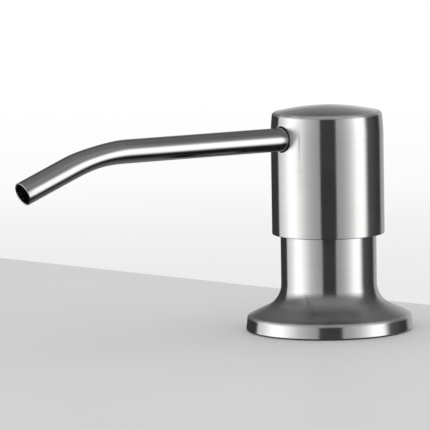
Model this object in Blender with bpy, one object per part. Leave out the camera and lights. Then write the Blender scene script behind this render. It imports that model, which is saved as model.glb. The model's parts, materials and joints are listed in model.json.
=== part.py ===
"""Deck-mounted soap pump dispenser: a turned metal base and press head over a sink deck, a threaded shank
through the deck, a clamping nut and a screw-on bottle below it, and the pump that lifts out of them.

The origin is on the turning axis, at the level of the deck's top face. +Z is up and the spout points along -X.
"""

import math

import bmesh
import bpy
from mathutils import Matrix, Vector

MM = 0.001

# Fits
CLEARANCE = 0.3 * MM  # between pieces that rest on or slide in each other
SEAL_CLEARANCE = 0.15 * MM  # between an O-ring and what it seals
THREAD_CLEARANCE = 0.35 * MM  # radial, between the shank's thread and the threads on it

# Radii, from the pump outwards
BARREL_BORE = 6.6 * MM
BARREL_WALL = 1.4 * MM
REFILL_GAP = 3.0 * MM  # round the barrel, for air
SHANK_WALL = 1.3 * MM
THREAD_DEPTH = 1.2 * MM
THREAD_PITCH = 4.0 * MM
NECK_WALL = 1.7 * MM
SKIRT_GAP = 1.4 * MM  # between the neck and the press head round it
HEAD_WALL = 1.1 * MM
FLANGE_OVERHANG = 10.7 * MM
STEM_BORE = 1.3 * MM
STEM_WALL = 1.9 * MM
SPOUT_RADIUS = 3.5 * MM
SPOUT_WALL = 0.45 * MM
DIP_TUBE_RADIUS = 2.9 * MM
DIP_TUBE_WALL = 0.8 * MM
BOTTLE_RADIUS = 35.0 * MM
BOTTLE_WALL = 1.5 * MM
BOTTLE_NECK_WALL = 2.4 * MM

# Base, above the deck
GASKET_SHOWN = 0.3 * MM  # rubber seen under the metal rim
GASKET_THICKNESS = 1.8 * MM
GASKET_INSET = 0.9 * MM
RIM_LIP = 0.5 * MM
RIM_HEIGHT = 4.3 * MM
RIM_TAPER = 0.5 * MM
RIM_ROUND = 1.1 * MM
FLARE_ANGLE = math.radians(25)
FLARE_ROUND = 7.6 * MM

# Press head
STROKE = 14.0 * MM
SKIRT_MARGIN = 0.93 * MM  # left above the flare when the head is fully pressed
SKIRT_OVERLAP = 5.4 * MM  # of the skirt over the neck at rest
PRESS_MARGIN = 0.6 * MM
HEAD_TOP_ROUND = 1.0 * MM
HEAD_DRAFT = 0.45 * MM
HEAD_DRAFT_LENGTH = 5.5 * MM
HEAD_CROWN = 1.8 * MM
SPOUT_SEAT_WALL = 1.9 * MM  # of the core round the spout
CORE_DISC = 1.2 * MM
CORE_LIP = 0.25 * MM  # of the disc over the spout's seat
RIB_THICKNESS = 1.6 * MM
HUB_WALL = 2.4 * MM
SPOUT_MARGIN = 1.95 * MM

# Spout, along its centre line from the turning axis
SPOUT_RISE = math.radians(0.65)
SPOUT_DROP = math.radians(21.0)
SPOUT_STRAIGHT = 70.9 * MM
SPOUT_BEND = 55.1 * MM
SPOUT_TIP = 16.7 * MM
SPOUT_ROOT = 7.5 * MM  # from the axis to the tube's inner end

# Pump insert
COLLAR_FLANGE = 1.7 * MM
COLLAR_WELL = 3.0 * MM
COLLAR_WALL = 1.9 * MM
COLLAR_TAIL = 5.2 * MM
GUIDE_DISC = 2.7 * MM
GUIDE_SPIGOT = 6.0 * MM
HOUSING_FLANGE = 2.0 * MM
HOUSING_GASKET = 1.2 * MM
PISTON_HEIGHT = 10.5 * MM
PISTON_SOCKET = 5.1 * MM
PISTON_WAIST = 0.7 * MM
SPRING_LENGTH = 26.0 * MM
SPRING_WIRE = 0.9 * MM
SPRING_TURNS = 8
SPRING_DEAD_TURNS = 1.0
SPRING_SEAT = 1.5 * MM
BALL_CHAMBER = 4.0 * MM
THROAT_LENGTH = 1.5 * MM
DIP_SOCKET = 12.0 * MM
INLET_BALL_RADIUS = 2.4 * MM
OUTLET_BALL_RADIUS = 1.7 * MM
BALL_SIDE_ROOM = 0.8 * MM
BALL_LIFT_ROOM = 1.0 * MM
O_RING_SECTION = 0.75 * MM
SPOUT_O_RING_SECTION = 0.45 * MM

# Below the deck
DECK_GAP = 10.0 * MM
WASHER_THICKNESS = 2.5 * MM
THRUST_THICKNESS = 1.2 * MM
WASHER_WIDTH = 9.5 * MM
NUT_HEIGHT = 11.0 * MM
NUT_FLANGE = 2.5 * MM
NUT_WALL = 4.2 * MM
NUT_FLANGE_WIDTH = 3.0 * MM
NUT_WINGS = 4
WING_LENGTH = 9.0 * MM
WING_THICKNESS = 3.2 * MM
SHANK_LENGTH = 62.0 * MM
SPIGOT_HEIGHT = 14.0 * MM  # of the shank inside the base
BOTTLE_GRIP = 16.0 * MM  # of the bottle's neck on the shank
BOTTLE_GASKET = 1.8 * MM
BOTTLE_LEDGE = 2.0 * MM
BOTTLE_HEIGHT = 166.0 * MM
BOTTLE_SHOULDER = 12.0 * MM
BOTTLE_BOTTOM_ROUND = 6.0 * MM
BOTTLE_PUSH_UP = 2.0 * MM
DIP_TUBE_GAP = 5.0 * MM  # over the bottle's floor

# Facets round each kind of piece
FINE = 48
MEDIUM = 32
SMALL = 20
THREADED = 24
MERGE = 0.001 * MM

# Radii that follow
BARREL_RADIUS = BARREL_BORE + BARREL_WALL
SHANK_BORE = BARREL_RADIUS + REFILL_GAP
SPIGOT_RADIUS = SHANK_BORE + SHANK_WALL
THREAD_CREST = SPIGOT_RADIUS + THREAD_DEPTH
NUT_GROOVE = THREAD_CREST + THREAD_CLEARANCE
NUT_RIDGE = SPIGOT_RADIUS + THREAD_CLEARANCE
NECK_BORE = SPIGOT_RADIUS + CLEARANCE
NECK_RADIUS = NECK_BORE + NECK_WALL
HEAD_BORE = NECK_RADIUS + SKIRT_GAP
HEAD_RADIUS = HEAD_BORE + HEAD_WALL
FLANGE_RADIUS = NECK_RADIUS + FLANGE_OVERHANG
STEM_RADIUS = STEM_BORE + STEM_WALL
STEM_HOLE = STEM_RADIUS + CLEARANCE
HUB_RADIUS = STEM_HOLE + HUB_WALL
SPOUT_HOLE = SPOUT_RADIUS + CLEARANCE
SPOUT_SEAT_RADIUS = SPOUT_HOLE + SPOUT_SEAT_WALL
COLLAR_RADIUS = NECK_BORE - CLEARANCE
COLLAR_BORE = COLLAR_RADIUS - COLLAR_WALL
COLLAR_LOW_BORE = BARREL_RADIUS + CLEARANCE
CAPTIVE_RADIUS = COLLAR_BORE - CLEARANCE  # of what drops into the collar
PISTON_RADIUS = BARREL_BORE - CLEARANCE
WASHER_BORE = THREAD_CREST + CLEARANCE
WASHER_RADIUS = WASHER_BORE + WASHER_WIDTH
NUT_RADIUS = NUT_GROOVE + NUT_WALL
BOTTLE_NECK_RADIUS = NUT_GROOVE + BOTTLE_NECK_WALL
DIP_SOCKET_BORE = DIP_TUBE_RADIUS + CLEARANCE
DIP_SOCKET_RADIUS = DIP_SOCKET_BORE + BARREL_WALL

# Heights that follow, from the deck up
RIM_BOTTOM_Z = GASKET_SHOWN
RECESS_Z = GASKET_THICKNESS + CLEARANCE
FLARE_TOP_Z = RIM_HEIGHT + (FLANGE_OVERHANG - RIM_TAPER) * math.tan(FLARE_ANGLE)
NECK_START_Z = FLARE_TOP_Z + FLARE_ROUND * math.tan((math.pi / 2 - FLARE_ANGLE) / 2)
SKIRT_Z = NECK_START_Z + SKIRT_MARGIN + STROKE
NECK_TOP_Z = SKIRT_Z + SKIRT_OVERLAP
COLLAR_TOP_Z = NECK_TOP_Z + CLEARANCE + COLLAR_FLANGE
GUIDE_TOP_Z = COLLAR_TOP_Z - COLLAR_WELL
HOUSING_TOP_Z = GUIDE_TOP_Z - GUIDE_DISC - CLEARANCE
HOUSING_GASKET_TOP_Z = HOUSING_TOP_Z - HOUSING_FLANGE - CLEARANCE
COLLAR_SHOULDER_Z = HOUSING_GASKET_TOP_Z - HOUSING_GASKET - CLEARANCE
COLLAR_BOTTOM_Z = COLLAR_SHOULDER_Z - COLLAR_TAIL
GUIDE_BOTTOM_Z = HOUSING_TOP_Z - GUIDE_SPIGOT
PISTON_TOP_Z = GUIDE_BOTTOM_Z - CLEARANCE
PISTON_BOTTOM_Z = PISTON_TOP_Z - PISTON_HEIGHT
STEM_FOOT_Z = PISTON_TOP_Z - PISTON_SOCKET + CLEARANCE
SPRING_TOP_Z = PISTON_BOTTOM_Z - CLEARANCE
SPRING_BOTTOM_Z = SPRING_TOP_Z - SPRING_LENGTH
SPRING_SEAT_TOP_Z = SPRING_BOTTOM_Z - CLEARANCE
BARREL_FLOOR_Z = SPRING_SEAT_TOP_Z - SPRING_SEAT - CLEARANCE
INLET_SEAT_Z = BARREL_FLOOR_Z - BALL_CHAMBER
HUB_BOTTOM_Z = GUIDE_TOP_Z + STROKE + PRESS_MARGIN
SPOUT_Z = COLLAR_TOP_Z + STROKE + SPOUT_MARGIN + SPOUT_SEAT_RADIUS
STEM_TOP_Z = SPOUT_Z - SPOUT_RADIUS + CLEARANCE
CORE_TOP_Z = SPOUT_Z + SPOUT_SEAT_RADIUS + CORE_LIP
HEAD_EDGE_Z = CORE_TOP_Z + CLEARANCE + HEAD_WALL
HEAD_APEX_Z = HEAD_EDGE_Z + HEAD_CROWN

# Heights that follow, from the deck down
WASHER_BOTTOM_Z = -DECK_GAP - WASHER_THICKNESS
THRUST_TOP_Z = WASHER_BOTTOM_Z - CLEARANCE
NUT_TOP_Z = THRUST_TOP_Z - THRUST_THICKNESS - CLEARANCE
NUT_BOTTOM_Z = NUT_TOP_Z - NUT_HEIGHT
SHANK_BOTTOM_Z = -SHANK_LENGTH
BOTTLE_GASKET_TOP_Z = SHANK_BOTTOM_Z - CLEARANCE
BOTTLE_LEDGE_Z = BOTTLE_GASKET_TOP_Z - BOTTLE_GASKET - CLEARANCE
BOTTLE_TOP_Z = SHANK_BOTTOM_Z + BOTTLE_GRIP
BOTTLE_BOTTOM_Z = BOTTLE_TOP_Z - BOTTLE_HEIGHT
DIP_TUBE_BOTTOM_Z = BOTTLE_BOTTOM_Z + BOTTLE_PUSH_UP + BOTTLE_WALL + DIP_TUBE_GAP

# Finishes: colour, metallic, roughness
FINISHES = {
    "brushed_steel": ((0.62, 0.61, 0.60), 1.0, 0.30),
    "bright_steel": ((0.66, 0.65, 0.64), 1.0, 0.18),
    "spring_steel": ((0.55, 0.55, 0.55), 1.0, 0.25),
    "black_rubber": ((0.02, 0.02, 0.02), 0.0, 0.70),
    "shank_plastic": ((0.10, 0.10, 0.11), 0.0, 0.45),
    "white_plastic": ((0.86, 0.86, 0.84), 0.0, 0.40),
    "natural_plastic": ((0.80, 0.82, 0.80), 0.0, 0.35),
    "bottle_plastic": ((0.82, 0.85, 0.86), 0.0, 0.30),
}


def clear_scene():
    for obj in list(bpy.data.objects):
        bpy.data.objects.remove(obj)


def finish_of(name):
    """The material of that name, made on first use."""
    if name in bpy.data.materials:
        return bpy.data.materials[name]
    colour, metallic, roughness = FINISHES[name]
    material = bpy.data.materials.new(name)
    material.use_nodes = True
    shader = material.node_tree.nodes["Principled BSDF"]
    shader.inputs["Base Color"].default_value = (*colour, 1.0)
    shader.inputs["Metallic"].default_value = metallic
    shader.inputs["Roughness"].default_value = roughness
    return material


def add_group(name, location=(0, 0, 0), parent=None):
    """An empty that stands for one moving body, at a point of its joint's axis."""
    group = bpy.data.objects.new(name, None)
    bpy.context.scene.collection.objects.link(group)
    group.parent = parent
    group.location = location
    return group


def add_piece(name, data, finish, group=None):
    """Links a mesh or curve as one piece whose place is in its points, under its body's empty."""
    data.materials.append(finish_of(finish))
    piece = bpy.data.objects.new(name, data)
    bpy.context.scene.collection.objects.link(piece)
    if group:
        bpy.context.view_layer.update()
        piece.parent = group
        piece.matrix_parent_inverse = group.matrix_world.inverted()
    return piece


def closed_mesh(bm, name):
    """Turns a bmesh into a mesh: doubles merged, faces outwards, shaded smooth but for its edges."""
    bmesh.ops.remove_doubles(bm, verts=bm.verts, dist=MERGE)
    bmesh.ops.recalc_face_normals(bm, faces=bm.faces)
    mesh = bpy.data.meshes.new(name)
    bm.to_mesh(mesh)
    bm.free()
    mesh.shade_smooth()
    mesh.set_sharp_from_angle(angle=math.radians(30))
    return mesh


def rounded(corners, steps=4):
    """An outline from corners (radius, height) or (radius, height, rounding), each rounding as an arc."""
    outline = []
    for index, corner in enumerate(corners):
        here = Vector(corner[:2])
        if len(corner) == 2:
            outline.append(here)
            continue
        before = (Vector(corners[index - 1][:2]) - here).normalized()
        after = (Vector(corners[(index + 1) % len(corners)][:2]) - here).normalized()
        half = before.angle(after) / 2
        start = here + before * corner[2] / math.tan(half)
        centre = here + (before + after).normalized() * corner[2] / math.sin(half)
        sweep = (math.pi - 2 * half) * (1 if before.cross(after) < 0 else -1)
        for step in range(steps + 1):
            outline.append(centre + Matrix.Rotation(sweep * step / steps, 2) @ (start - centre))
    return [tuple(point) for point in outline]


def spin_outline(bm, outline, segments, closed=False):
    """Turns an outline of (radius, height) points about Z."""
    verts = [bm.verts.new((radius, 0, height)) for radius, height in outline]
    following = verts[1:] + (verts[:1] if closed else [])
    edges = [bm.edges.new(pair) for pair in zip(verts, following)]
    bmesh.ops.spin(
        bm, geom=verts + edges, cent=(0, 0, 0), axis=(0, 0, 1), angle=math.tau, steps=segments, use_merge=True
    )


def turned(name, outline, segments, finish, group, closed=True):
    """A turned piece. An outline that starts and ends on the axis isn't closed."""
    bm = bmesh.new()
    spin_outline(bm, outline, segments, closed)
    return add_piece(name, closed_mesh(bm, name), finish, group)


def ring(name, inner, outer, bottom, top, segments, finish, group):
    corners = [(inner, bottom), (outer, bottom), (outer, top), (inner, top)]
    return turned(name, corners, segments, finish, group)


def thread_surface(bm, low, high, valley, crest, plain, segments):
    """A right-hand thread of the common pitch and phase, from low to high, plain at both ends."""
    shape = ((0.0, 0.0), (0.25, 0.0), (0.5, 1.0), (0.75, 1.0))
    turns = range(math.floor(low / THREAD_PITCH) - 1, math.ceil(high / THREAD_PITCH) + 1)
    rows = [(turn + phase, share) for turn in turns for phase, share in shape]
    columns = []
    for index in range(segments):
        angle = math.tau * index / segments
        column = []
        for position, share in rows:
            height = (position + index / segments) * THREAD_PITCH
            radius = valley + (crest - valley) * share if low < height < high else plain
            height = min(max(height, low), high)
            column.append(bm.verts.new((radius * math.cos(angle), radius * math.sin(angle), height)))
        columns.append(column)
    for index, here in enumerate(columns):
        last = index == segments - 1
        there = columns[0][len(shape) :] if last else columns[index + 1]
        for row in range(len(there) - 1):
            bm.faces.new((here[row], there[row], there[row + 1], here[row + 1]))


def cutter(name, mesh, matrix, group=None):
    """A hidden helper for a Boolean modifier."""
    helper = bpy.data.objects.new(name, mesh)
    bpy.context.scene.collection.objects.link(helper)
    helper.matrix_world = matrix
    helper.hide_render = True
    helper.display_type = "WIRE"
    if group:
        helper.parent = group
        helper.matrix_parent_inverse = group.matrix_world.inverted()
    return helper


def rod_mesh(name, radius, start, end, segments):
    """A round bar along Z from start to end."""
    bm = bmesh.new()
    bmesh.ops.create_cone(
        bm, cap_ends=True, segments=segments, radius1=radius, radius2=radius, depth=end - start
    )
    bmesh.ops.translate(bm, verts=bm.verts, vec=(0, 0, (start + end) / 2))
    return closed_mesh(bm, name)


def box_mesh(name, low, high):
    bm = bmesh.new()
    bmesh.ops.create_cube(bm, size=1)
    bmesh.ops.scale(bm, verts=bm.verts, vec=Vector(high) - Vector(low))
    bmesh.ops.translate(bm, verts=bm.verts, vec=(Vector(high) + Vector(low)) / 2)
    return closed_mesh(bm, name)


def combine(piece, helper, operation):
    modifier = piece.modifiers.new(helper.name, "BOOLEAN")
    modifier.operation = operation
    modifier.solver = "EXACT"
    modifier.object = helper


def along_spout():
    """The frame whose Z runs out along the spout's root from the turning axis."""
    direction = Vector((-math.cos(SPOUT_RISE), 0, math.sin(SPOUT_RISE)))
    turn = Vector((0, 0, 1)).rotation_difference(direction)
    return Matrix.Translation((0, 0, SPOUT_Z)) @ turn.to_matrix().to_4x4()


def torus(name, major, minor, place, segments, finish, group):
    bm = bmesh.new()
    circle = bmesh.ops.create_circle(bm, segments=8, radius=minor)["verts"]
    bmesh.ops.rotate(bm, verts=circle, matrix=Matrix.Rotation(math.pi / 2, 3, "X"))
    bmesh.ops.translate(bm, verts=circle, vec=(major, 0, 0))
    bmesh.ops.spin(
        bm, geom=bm.verts[:] + bm.edges[:], axis=(0, 0, 1), angle=math.tau, steps=segments, use_merge=True
    )
    bmesh.ops.transform(bm, verts=bm.verts, matrix=place)
    return add_piece(name, closed_mesh(bm, name), finish, group)


# Base


def add_base_flange(group):
    """Turned base: a tapered rim, a sloping flare and the neck that the press head slides over."""
    recess = FLANGE_RADIUS - RIM_LIP
    outline = rounded(
        [
            (FLANGE_RADIUS, RIM_BOTTOM_Z),
            (FLANGE_RADIUS - RIM_TAPER, RIM_HEIGHT, RIM_ROUND),
            (NECK_RADIUS, FLARE_TOP_Z, FLARE_ROUND),
            (NECK_RADIUS, NECK_TOP_Z),
            (NECK_BORE, NECK_TOP_Z),
            (NECK_BORE, RECESS_Z),
            (recess, RECESS_Z),
            (recess, RIM_BOTTOM_Z),
        ]
    )
    return turned("base_flange", outline, FINE, "brushed_steel", group)


def add_base_gasket(group):
    outer = FLANGE_RADIUS - GASKET_INSET
    return ring("base_gasket", WASHER_BORE, outer, 0, GASKET_THICKNESS, FINE, "black_rubber", group)


def add_threaded_shank(group):
    """Tube through the deck: a plain spigot inside the base above, a thread for the nut and bottle below."""
    bm = bmesh.new()
    thread_low = SHANK_BOTTOM_Z + THREAD_DEPTH
    thread_high = -THREAD_DEPTH
    thread_surface(bm, thread_low, thread_high, SPIGOT_RADIUS, THREAD_CREST, SPIGOT_RADIUS, THREADED)
    outline = [
        (SPIGOT_RADIUS, thread_high),
        (SPIGOT_RADIUS, SPIGOT_HEIGHT),
        (SHANK_BORE, SPIGOT_HEIGHT),
        (SHANK_BORE, SHANK_BOTTOM_Z),
        (SPIGOT_RADIUS, SHANK_BOTTOM_Z),
        (SPIGOT_RADIUS, thread_low),
    ]
    spin_outline(bm, outline, THREADED)
    return add_piece("threaded_shank", closed_mesh(bm, "threaded_shank"), "shank_plastic", group)


# Clamp under the deck


def add_deck_washer(group):
    return ring(
        "deck_washer", WASHER_BORE, WASHER_RADIUS, WASHER_BOTTOM_Z, -DECK_GAP, MEDIUM, "black_rubber", group
    )


def add_thrust_washer(group):
    bottom = THRUST_TOP_Z - THRUST_THICKNESS
    return ring(
        "thrust_washer", WASHER_BORE, WASHER_RADIUS, bottom, THRUST_TOP_Z, MEDIUM, "bright_steel", group
    )


def add_mounting_nut(group):
    """Flanged plastic nut with wings to turn it by hand, threaded to mesh with the shank."""
    bm = bmesh.new()
    thread_low = NUT_BOTTOM_Z + THREAD_DEPTH / 2
    thread_high = NUT_TOP_Z - THREAD_DEPTH / 2
    thread_surface(bm, thread_low, thread_high, NUT_RIDGE, NUT_GROOVE, NUT_GROOVE, THREADED)
    flange = NUT_RADIUS + NUT_FLANGE_WIDTH
    outline = [
        (NUT_GROOVE, thread_high),
        (NUT_GROOVE, NUT_TOP_Z),
        (flange, NUT_TOP_Z),
        (flange, NUT_TOP_Z - NUT_FLANGE),
        (NUT_RADIUS, NUT_TOP_Z - NUT_FLANGE),
        (NUT_RADIUS, NUT_BOTTOM_Z),
        (NUT_GROOVE, NUT_BOTTOM_Z),
        (NUT_GROOVE, thread_low),
    ]
    spin_outline(bm, outline, THREADED)
    nut = add_piece("mounting_nut", closed_mesh(bm, "mounting_nut"), "shank_plastic", group)
    inner = NUT_RADIUS - NUT_WALL / 2
    low = (inner, -WING_THICKNESS / 2, NUT_BOTTOM_Z + PRESS_MARGIN)
    high = (NUT_RADIUS + WING_LENGTH, WING_THICKNESS / 2, NUT_TOP_Z - NUT_FLANGE / 2)
    for index in range(NUT_WINGS):
        # A quarter facet of turn keeps the wings' faces off the nut's own edges.
        turn = math.tau * (index / NUT_WINGS + 0.25 / THREADED)
        wing = cutter(f"wing_{index}", box_mesh("wing", low, high), Matrix.Rotation(turn, 4, "Z"), group)
        combine(nut, wing, "UNION")
    return nut


# Bottle


def add_bottle_gasket(group):
    bottom = BOTTLE_GASKET_TOP_Z - BOTTLE_GASKET
    return ring(
        "bottle_gasket", SHANK_BORE, THREAD_CREST, bottom, BOTTLE_GASKET_TOP_Z, MEDIUM, "black_rubber", group
    )


def add_bottle(group):
    """Blown bottle whose neck is threaded inside, with a ledge that holds its gasket against the shank."""
    bm = bmesh.new()
    thread_low = SHANK_BOTTOM_Z
    thread_high = BOTTLE_TOP_Z - THREAD_DEPTH / 2
    thread_surface(bm, thread_low, thread_high, NUT_RIDGE, NUT_GROOVE, NUT_GROOVE, THREADED)
    shoulder_z = BOTTLE_LEDGE_Z - BOTTLE_LEDGE
    body_z = shoulder_z - BOTTLE_SHOULDER
    inner = BOTTLE_RADIUS - BOTTLE_WALL
    floor_z = BOTTLE_BOTTOM_Z + BOTTLE_WALL
    neck_round = BOTTLE_NECK_WALL
    body_round = BOTTLE_SHOULDER
    outside = [
        (NUT_GROOVE, thread_high),
        (NUT_GROOVE, BOTTLE_TOP_Z),
        (BOTTLE_NECK_RADIUS, BOTTLE_TOP_Z),
        (BOTTLE_NECK_RADIUS, shoulder_z + BOTTLE_WALL, neck_round),
        (BOTTLE_RADIUS, body_z + BOTTLE_WALL, body_round),
        (BOTTLE_RADIUS, BOTTLE_BOTTOM_Z, BOTTLE_BOTTOM_ROUND),
        (BOTTLE_RADIUS - 2 * BOTTLE_BOTTOM_ROUND, BOTTLE_BOTTOM_Z),
        (0, BOTTLE_BOTTOM_Z + BOTTLE_PUSH_UP),
    ]
    inside = [
        (0, floor_z + BOTTLE_PUSH_UP),
        (inner - 2 * BOTTLE_BOTTOM_ROUND, floor_z),
        (inner, floor_z, BOTTLE_BOTTOM_ROUND - BOTTLE_WALL),
        (inner, body_z, body_round - BOTTLE_WALL),
        (SHANK_BORE + CLEARANCE, shoulder_z),
        (SHANK_BORE + CLEARANCE, BOTTLE_LEDGE_Z),
        (NUT_GROOVE, BOTTLE_LEDGE_Z),
        (NUT_GROOVE, thread_low),
    ]
    spin_outline(bm, rounded(outside), THREADED)
    spin_outline(bm, rounded(inside), THREADED)
    return add_piece("bottle", closed_mesh(bm, "bottle"), "bottle_plastic", group)


# Pump insert


def add_pump_collar(group):
    """Ring that hangs the pump in the neck: a flange on the neck's top and a well that the hub dips into."""
    groove_z = (COLLAR_SHOULDER_Z + COLLAR_BOTTOM_Z) / 2
    half = O_RING_SECTION + SEAL_CLEARANCE
    groove = COLLAR_RADIUS - 2 * O_RING_SECTION
    outline = [
        (COLLAR_LOW_BORE, COLLAR_BOTTOM_Z),
        (COLLAR_RADIUS, COLLAR_BOTTOM_Z),
        (COLLAR_RADIUS, groove_z - half),
        (groove, groove_z - half),
        (groove, groove_z + half),
        (COLLAR_RADIUS, groove_z + half),
        (COLLAR_RADIUS, NECK_TOP_Z + CLEARANCE),
        (NECK_RADIUS, NECK_TOP_Z + CLEARANCE),
        (NECK_RADIUS, COLLAR_TOP_Z),
        (COLLAR_BORE, COLLAR_TOP_Z),
        (COLLAR_BORE, COLLAR_SHOULDER_Z),
        (COLLAR_LOW_BORE, COLLAR_SHOULDER_Z),
    ]
    return turned("pump_collar", outline, MEDIUM, "white_plastic", group)


def add_collar_o_ring(group):
    major = COLLAR_RADIUS - O_RING_SECTION + SEAL_CLEARANCE
    place = Matrix.Translation((0, 0, (COLLAR_SHOULDER_Z + COLLAR_BOTTOM_Z) / 2))
    return torus("collar_o_ring", major, O_RING_SECTION, place, MEDIUM, "black_rubber", group)


def add_housing_gasket(group):
    bottom = HOUSING_GASKET_TOP_Z - HOUSING_GASKET
    return ring(
        "housing_gasket", COLLAR_LOW_BORE, CAPTIVE_RADIUS, bottom, HOUSING_GASKET_TOP_Z, MEDIUM,
        "black_rubber", group,
    )


def ball_seat(ball_radius):
    """(chamber radius, throat radius, cone height) of the seat that a ball valve rests in."""
    chamber = ball_radius + BALL_SIDE_ROOM
    throat = ball_radius * 0.62
    return chamber, throat, chamber - throat


def ball_height(ball_radius, seat_z):
    """The height of a ball's centre over a 45 degree seat whose cone starts at seat_z, a clearance off it."""
    _, throat, cone = ball_seat(ball_radius)
    return seat_z - cone + (ball_radius + CLEARANCE) * math.sqrt(2) - throat


def add_pump_housing(group):
    """Pump barrel: a flange held in the collar, the piston's bore, the inlet valve and the dip tube's socket."""
    chamber, throat, cone = ball_seat(INLET_BALL_RADIUS)
    throat_z = INLET_SEAT_Z - cone
    socket_z = throat_z - THROAT_LENGTH
    bottom_z = socket_z - DIP_SOCKET
    waist_z = BARREL_FLOOR_Z - BARREL_WALL
    outline = [
        (BARREL_BORE, HOUSING_TOP_Z),
        (BARREL_BORE, BARREL_FLOOR_Z),
        (chamber, BARREL_FLOOR_Z),
        (chamber, INLET_SEAT_Z),
        (throat, throat_z),
        (throat, socket_z),
        (DIP_SOCKET_BORE, socket_z),
        (DIP_SOCKET_BORE, bottom_z),
        (DIP_SOCKET_RADIUS, bottom_z),
        (DIP_SOCKET_RADIUS, waist_z - (BARREL_RADIUS - DIP_SOCKET_RADIUS)),
        (BARREL_RADIUS, waist_z),
        (BARREL_RADIUS, HOUSING_TOP_Z - HOUSING_FLANGE),
        (CAPTIVE_RADIUS, HOUSING_TOP_Z - HOUSING_FLANGE),
        (CAPTIVE_RADIUS, HOUSING_TOP_Z),
    ]
    return turned("pump_housing", outline, MEDIUM, "natural_plastic", group)


def add_stem_guide(group):
    """Plug that closes the barrel, guides the stem and stops the piston at the top of its stroke."""
    outline = [
        (STEM_HOLE, GUIDE_TOP_Z),
        (STEM_HOLE, GUIDE_BOTTOM_Z),
        (PISTON_RADIUS, GUIDE_BOTTOM_Z),
        (PISTON_RADIUS, HOUSING_TOP_Z + CLEARANCE),
        (CAPTIVE_RADIUS, HOUSING_TOP_Z + CLEARANCE),
        (CAPTIVE_RADIUS, GUIDE_TOP_Z),
    ]
    return turned("stem_guide", outline, MEDIUM, "white_plastic", group)


def add_spring_seat(group):
    """Disc that holds the inlet ball down in its chamber and carries the spring."""
    hole = INLET_BALL_RADIUS * 0.7
    top = SPRING_SEAT_TOP_Z
    return ring("spring_seat", hole, PISTON_RADIUS, top - SPRING_SEAT, top, MEDIUM, "white_plastic", group)


def add_return_spring(group):
    """Compression spring with a closed coil at each end, on a line worked out turn by turn."""
    points_per_turn = 12
    radius = PISTON_RADIUS - SPRING_WIRE
    closed_pitch = SPRING_WIRE + SEAL_CLEARANCE
    height = SPRING_LENGTH - SPRING_WIRE
    open_turns = SPRING_TURNS - 2 * SPRING_DEAD_TURNS
    open_pitch = (height - 2 * SPRING_DEAD_TURNS * closed_pitch) / open_turns
    curve = bpy.data.curves.new("return_spring", "CURVE")
    curve.dimensions = "3D"
    curve.bevel_depth = SPRING_WIRE / 2
    curve.bevel_resolution = 1
    curve.use_fill_caps = True
    spline = curve.splines.new("POLY")
    count = SPRING_TURNS * points_per_turn + 1
    spline.points.add(count - 1)
    for index in range(count):
        turn = index / points_per_turn
        opened = min(max(turn - SPRING_DEAD_TURNS, 0), open_turns)
        rise = (turn - opened) * closed_pitch + opened * open_pitch
        angle = math.tau * turn
        z = SPRING_BOTTOM_Z + SPRING_WIRE / 2 + rise
        spline.points[index].co = (radius * math.cos(angle), radius * math.sin(angle), z, 1)
    return add_piece("return_spring", curve, "spring_steel", group)


def add_dip_tube(group):
    chamber, throat, cone = ball_seat(INLET_BALL_RADIUS)
    top = INLET_SEAT_Z - cone - THROAT_LENGTH - CLEARANCE
    bore = DIP_TUBE_RADIUS - DIP_TUBE_WALL
    return ring("dip_tube", bore, DIP_TUBE_RADIUS, DIP_TUBE_BOTTOM_Z, top, SMALL, "natural_plastic", group)


def add_ball(name, radius, height, group):
    bm = bmesh.new()
    bmesh.ops.create_uvsphere(bm, u_segments=16, v_segments=10, radius=radius)
    bmesh.ops.translate(bm, verts=bm.verts, vec=(0, 0, height))
    return add_piece(name, closed_mesh(bm, name), "bright_steel", group)


def outlet_seat_z():
    """Where the outlet valve's cone starts, a ball and its lift below the stem's foot."""
    lifted = OUTLET_BALL_RADIUS + BALL_LIFT_ROOM
    return STEM_FOOT_Z - lifted - (ball_height(OUTLET_BALL_RADIUS, 0))


# Plunger


def add_piston(group):
    """Piston with a lip at each end, a socket for the stem and the outlet valve's seat below it."""
    chamber, throat, cone = ball_seat(OUTLET_BALL_RADIUS)
    seat_z = outlet_seat_z()
    waist = PISTON_RADIUS - PISTON_WAIST
    lip = 2 * PISTON_WAIST
    outline = [
        (STEM_HOLE, PISTON_TOP_Z),
        (STEM_HOLE, STEM_FOOT_Z - CLEARANCE),
        (chamber, STEM_FOOT_Z - CLEARANCE),
        (chamber, seat_z),
        (throat, seat_z - cone),
        (throat, PISTON_BOTTOM_Z),
        (PISTON_RADIUS, PISTON_BOTTOM_Z),
        (PISTON_RADIUS, PISTON_BOTTOM_Z + lip),
        (waist, PISTON_BOTTOM_Z + 1.5 * lip),
        (waist, PISTON_TOP_Z - 1.5 * lip),
        (PISTON_RADIUS, PISTON_TOP_Z - lip),
        (PISTON_RADIUS, PISTON_TOP_Z),
    ]
    return turned("piston", outline, MEDIUM, "natural_plastic", group)


def add_stem(group):
    """Hollow rod from the piston to the press head, slotted at its foot so that the ball can't close it."""
    stem = ring("stem", STEM_BORE, STEM_RADIUS, STEM_FOOT_Z, STEM_TOP_Z, SMALL, "natural_plastic", group)
    half = STEM_BORE / 2
    reach = STEM_RADIUS + CLEARANCE
    low = (-reach, -half, STEM_FOOT_Z - STEM_BORE)
    high = (reach, half, STEM_FOOT_Z + STEM_BORE)
    slot = cutter("foot_slot", box_mesh("foot_slot", low, high), Matrix.Rotation(math.radians(4), 4, "Z"), group)
    combine(stem, slot, "DIFFERENCE")
    return stem


# Press head


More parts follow.
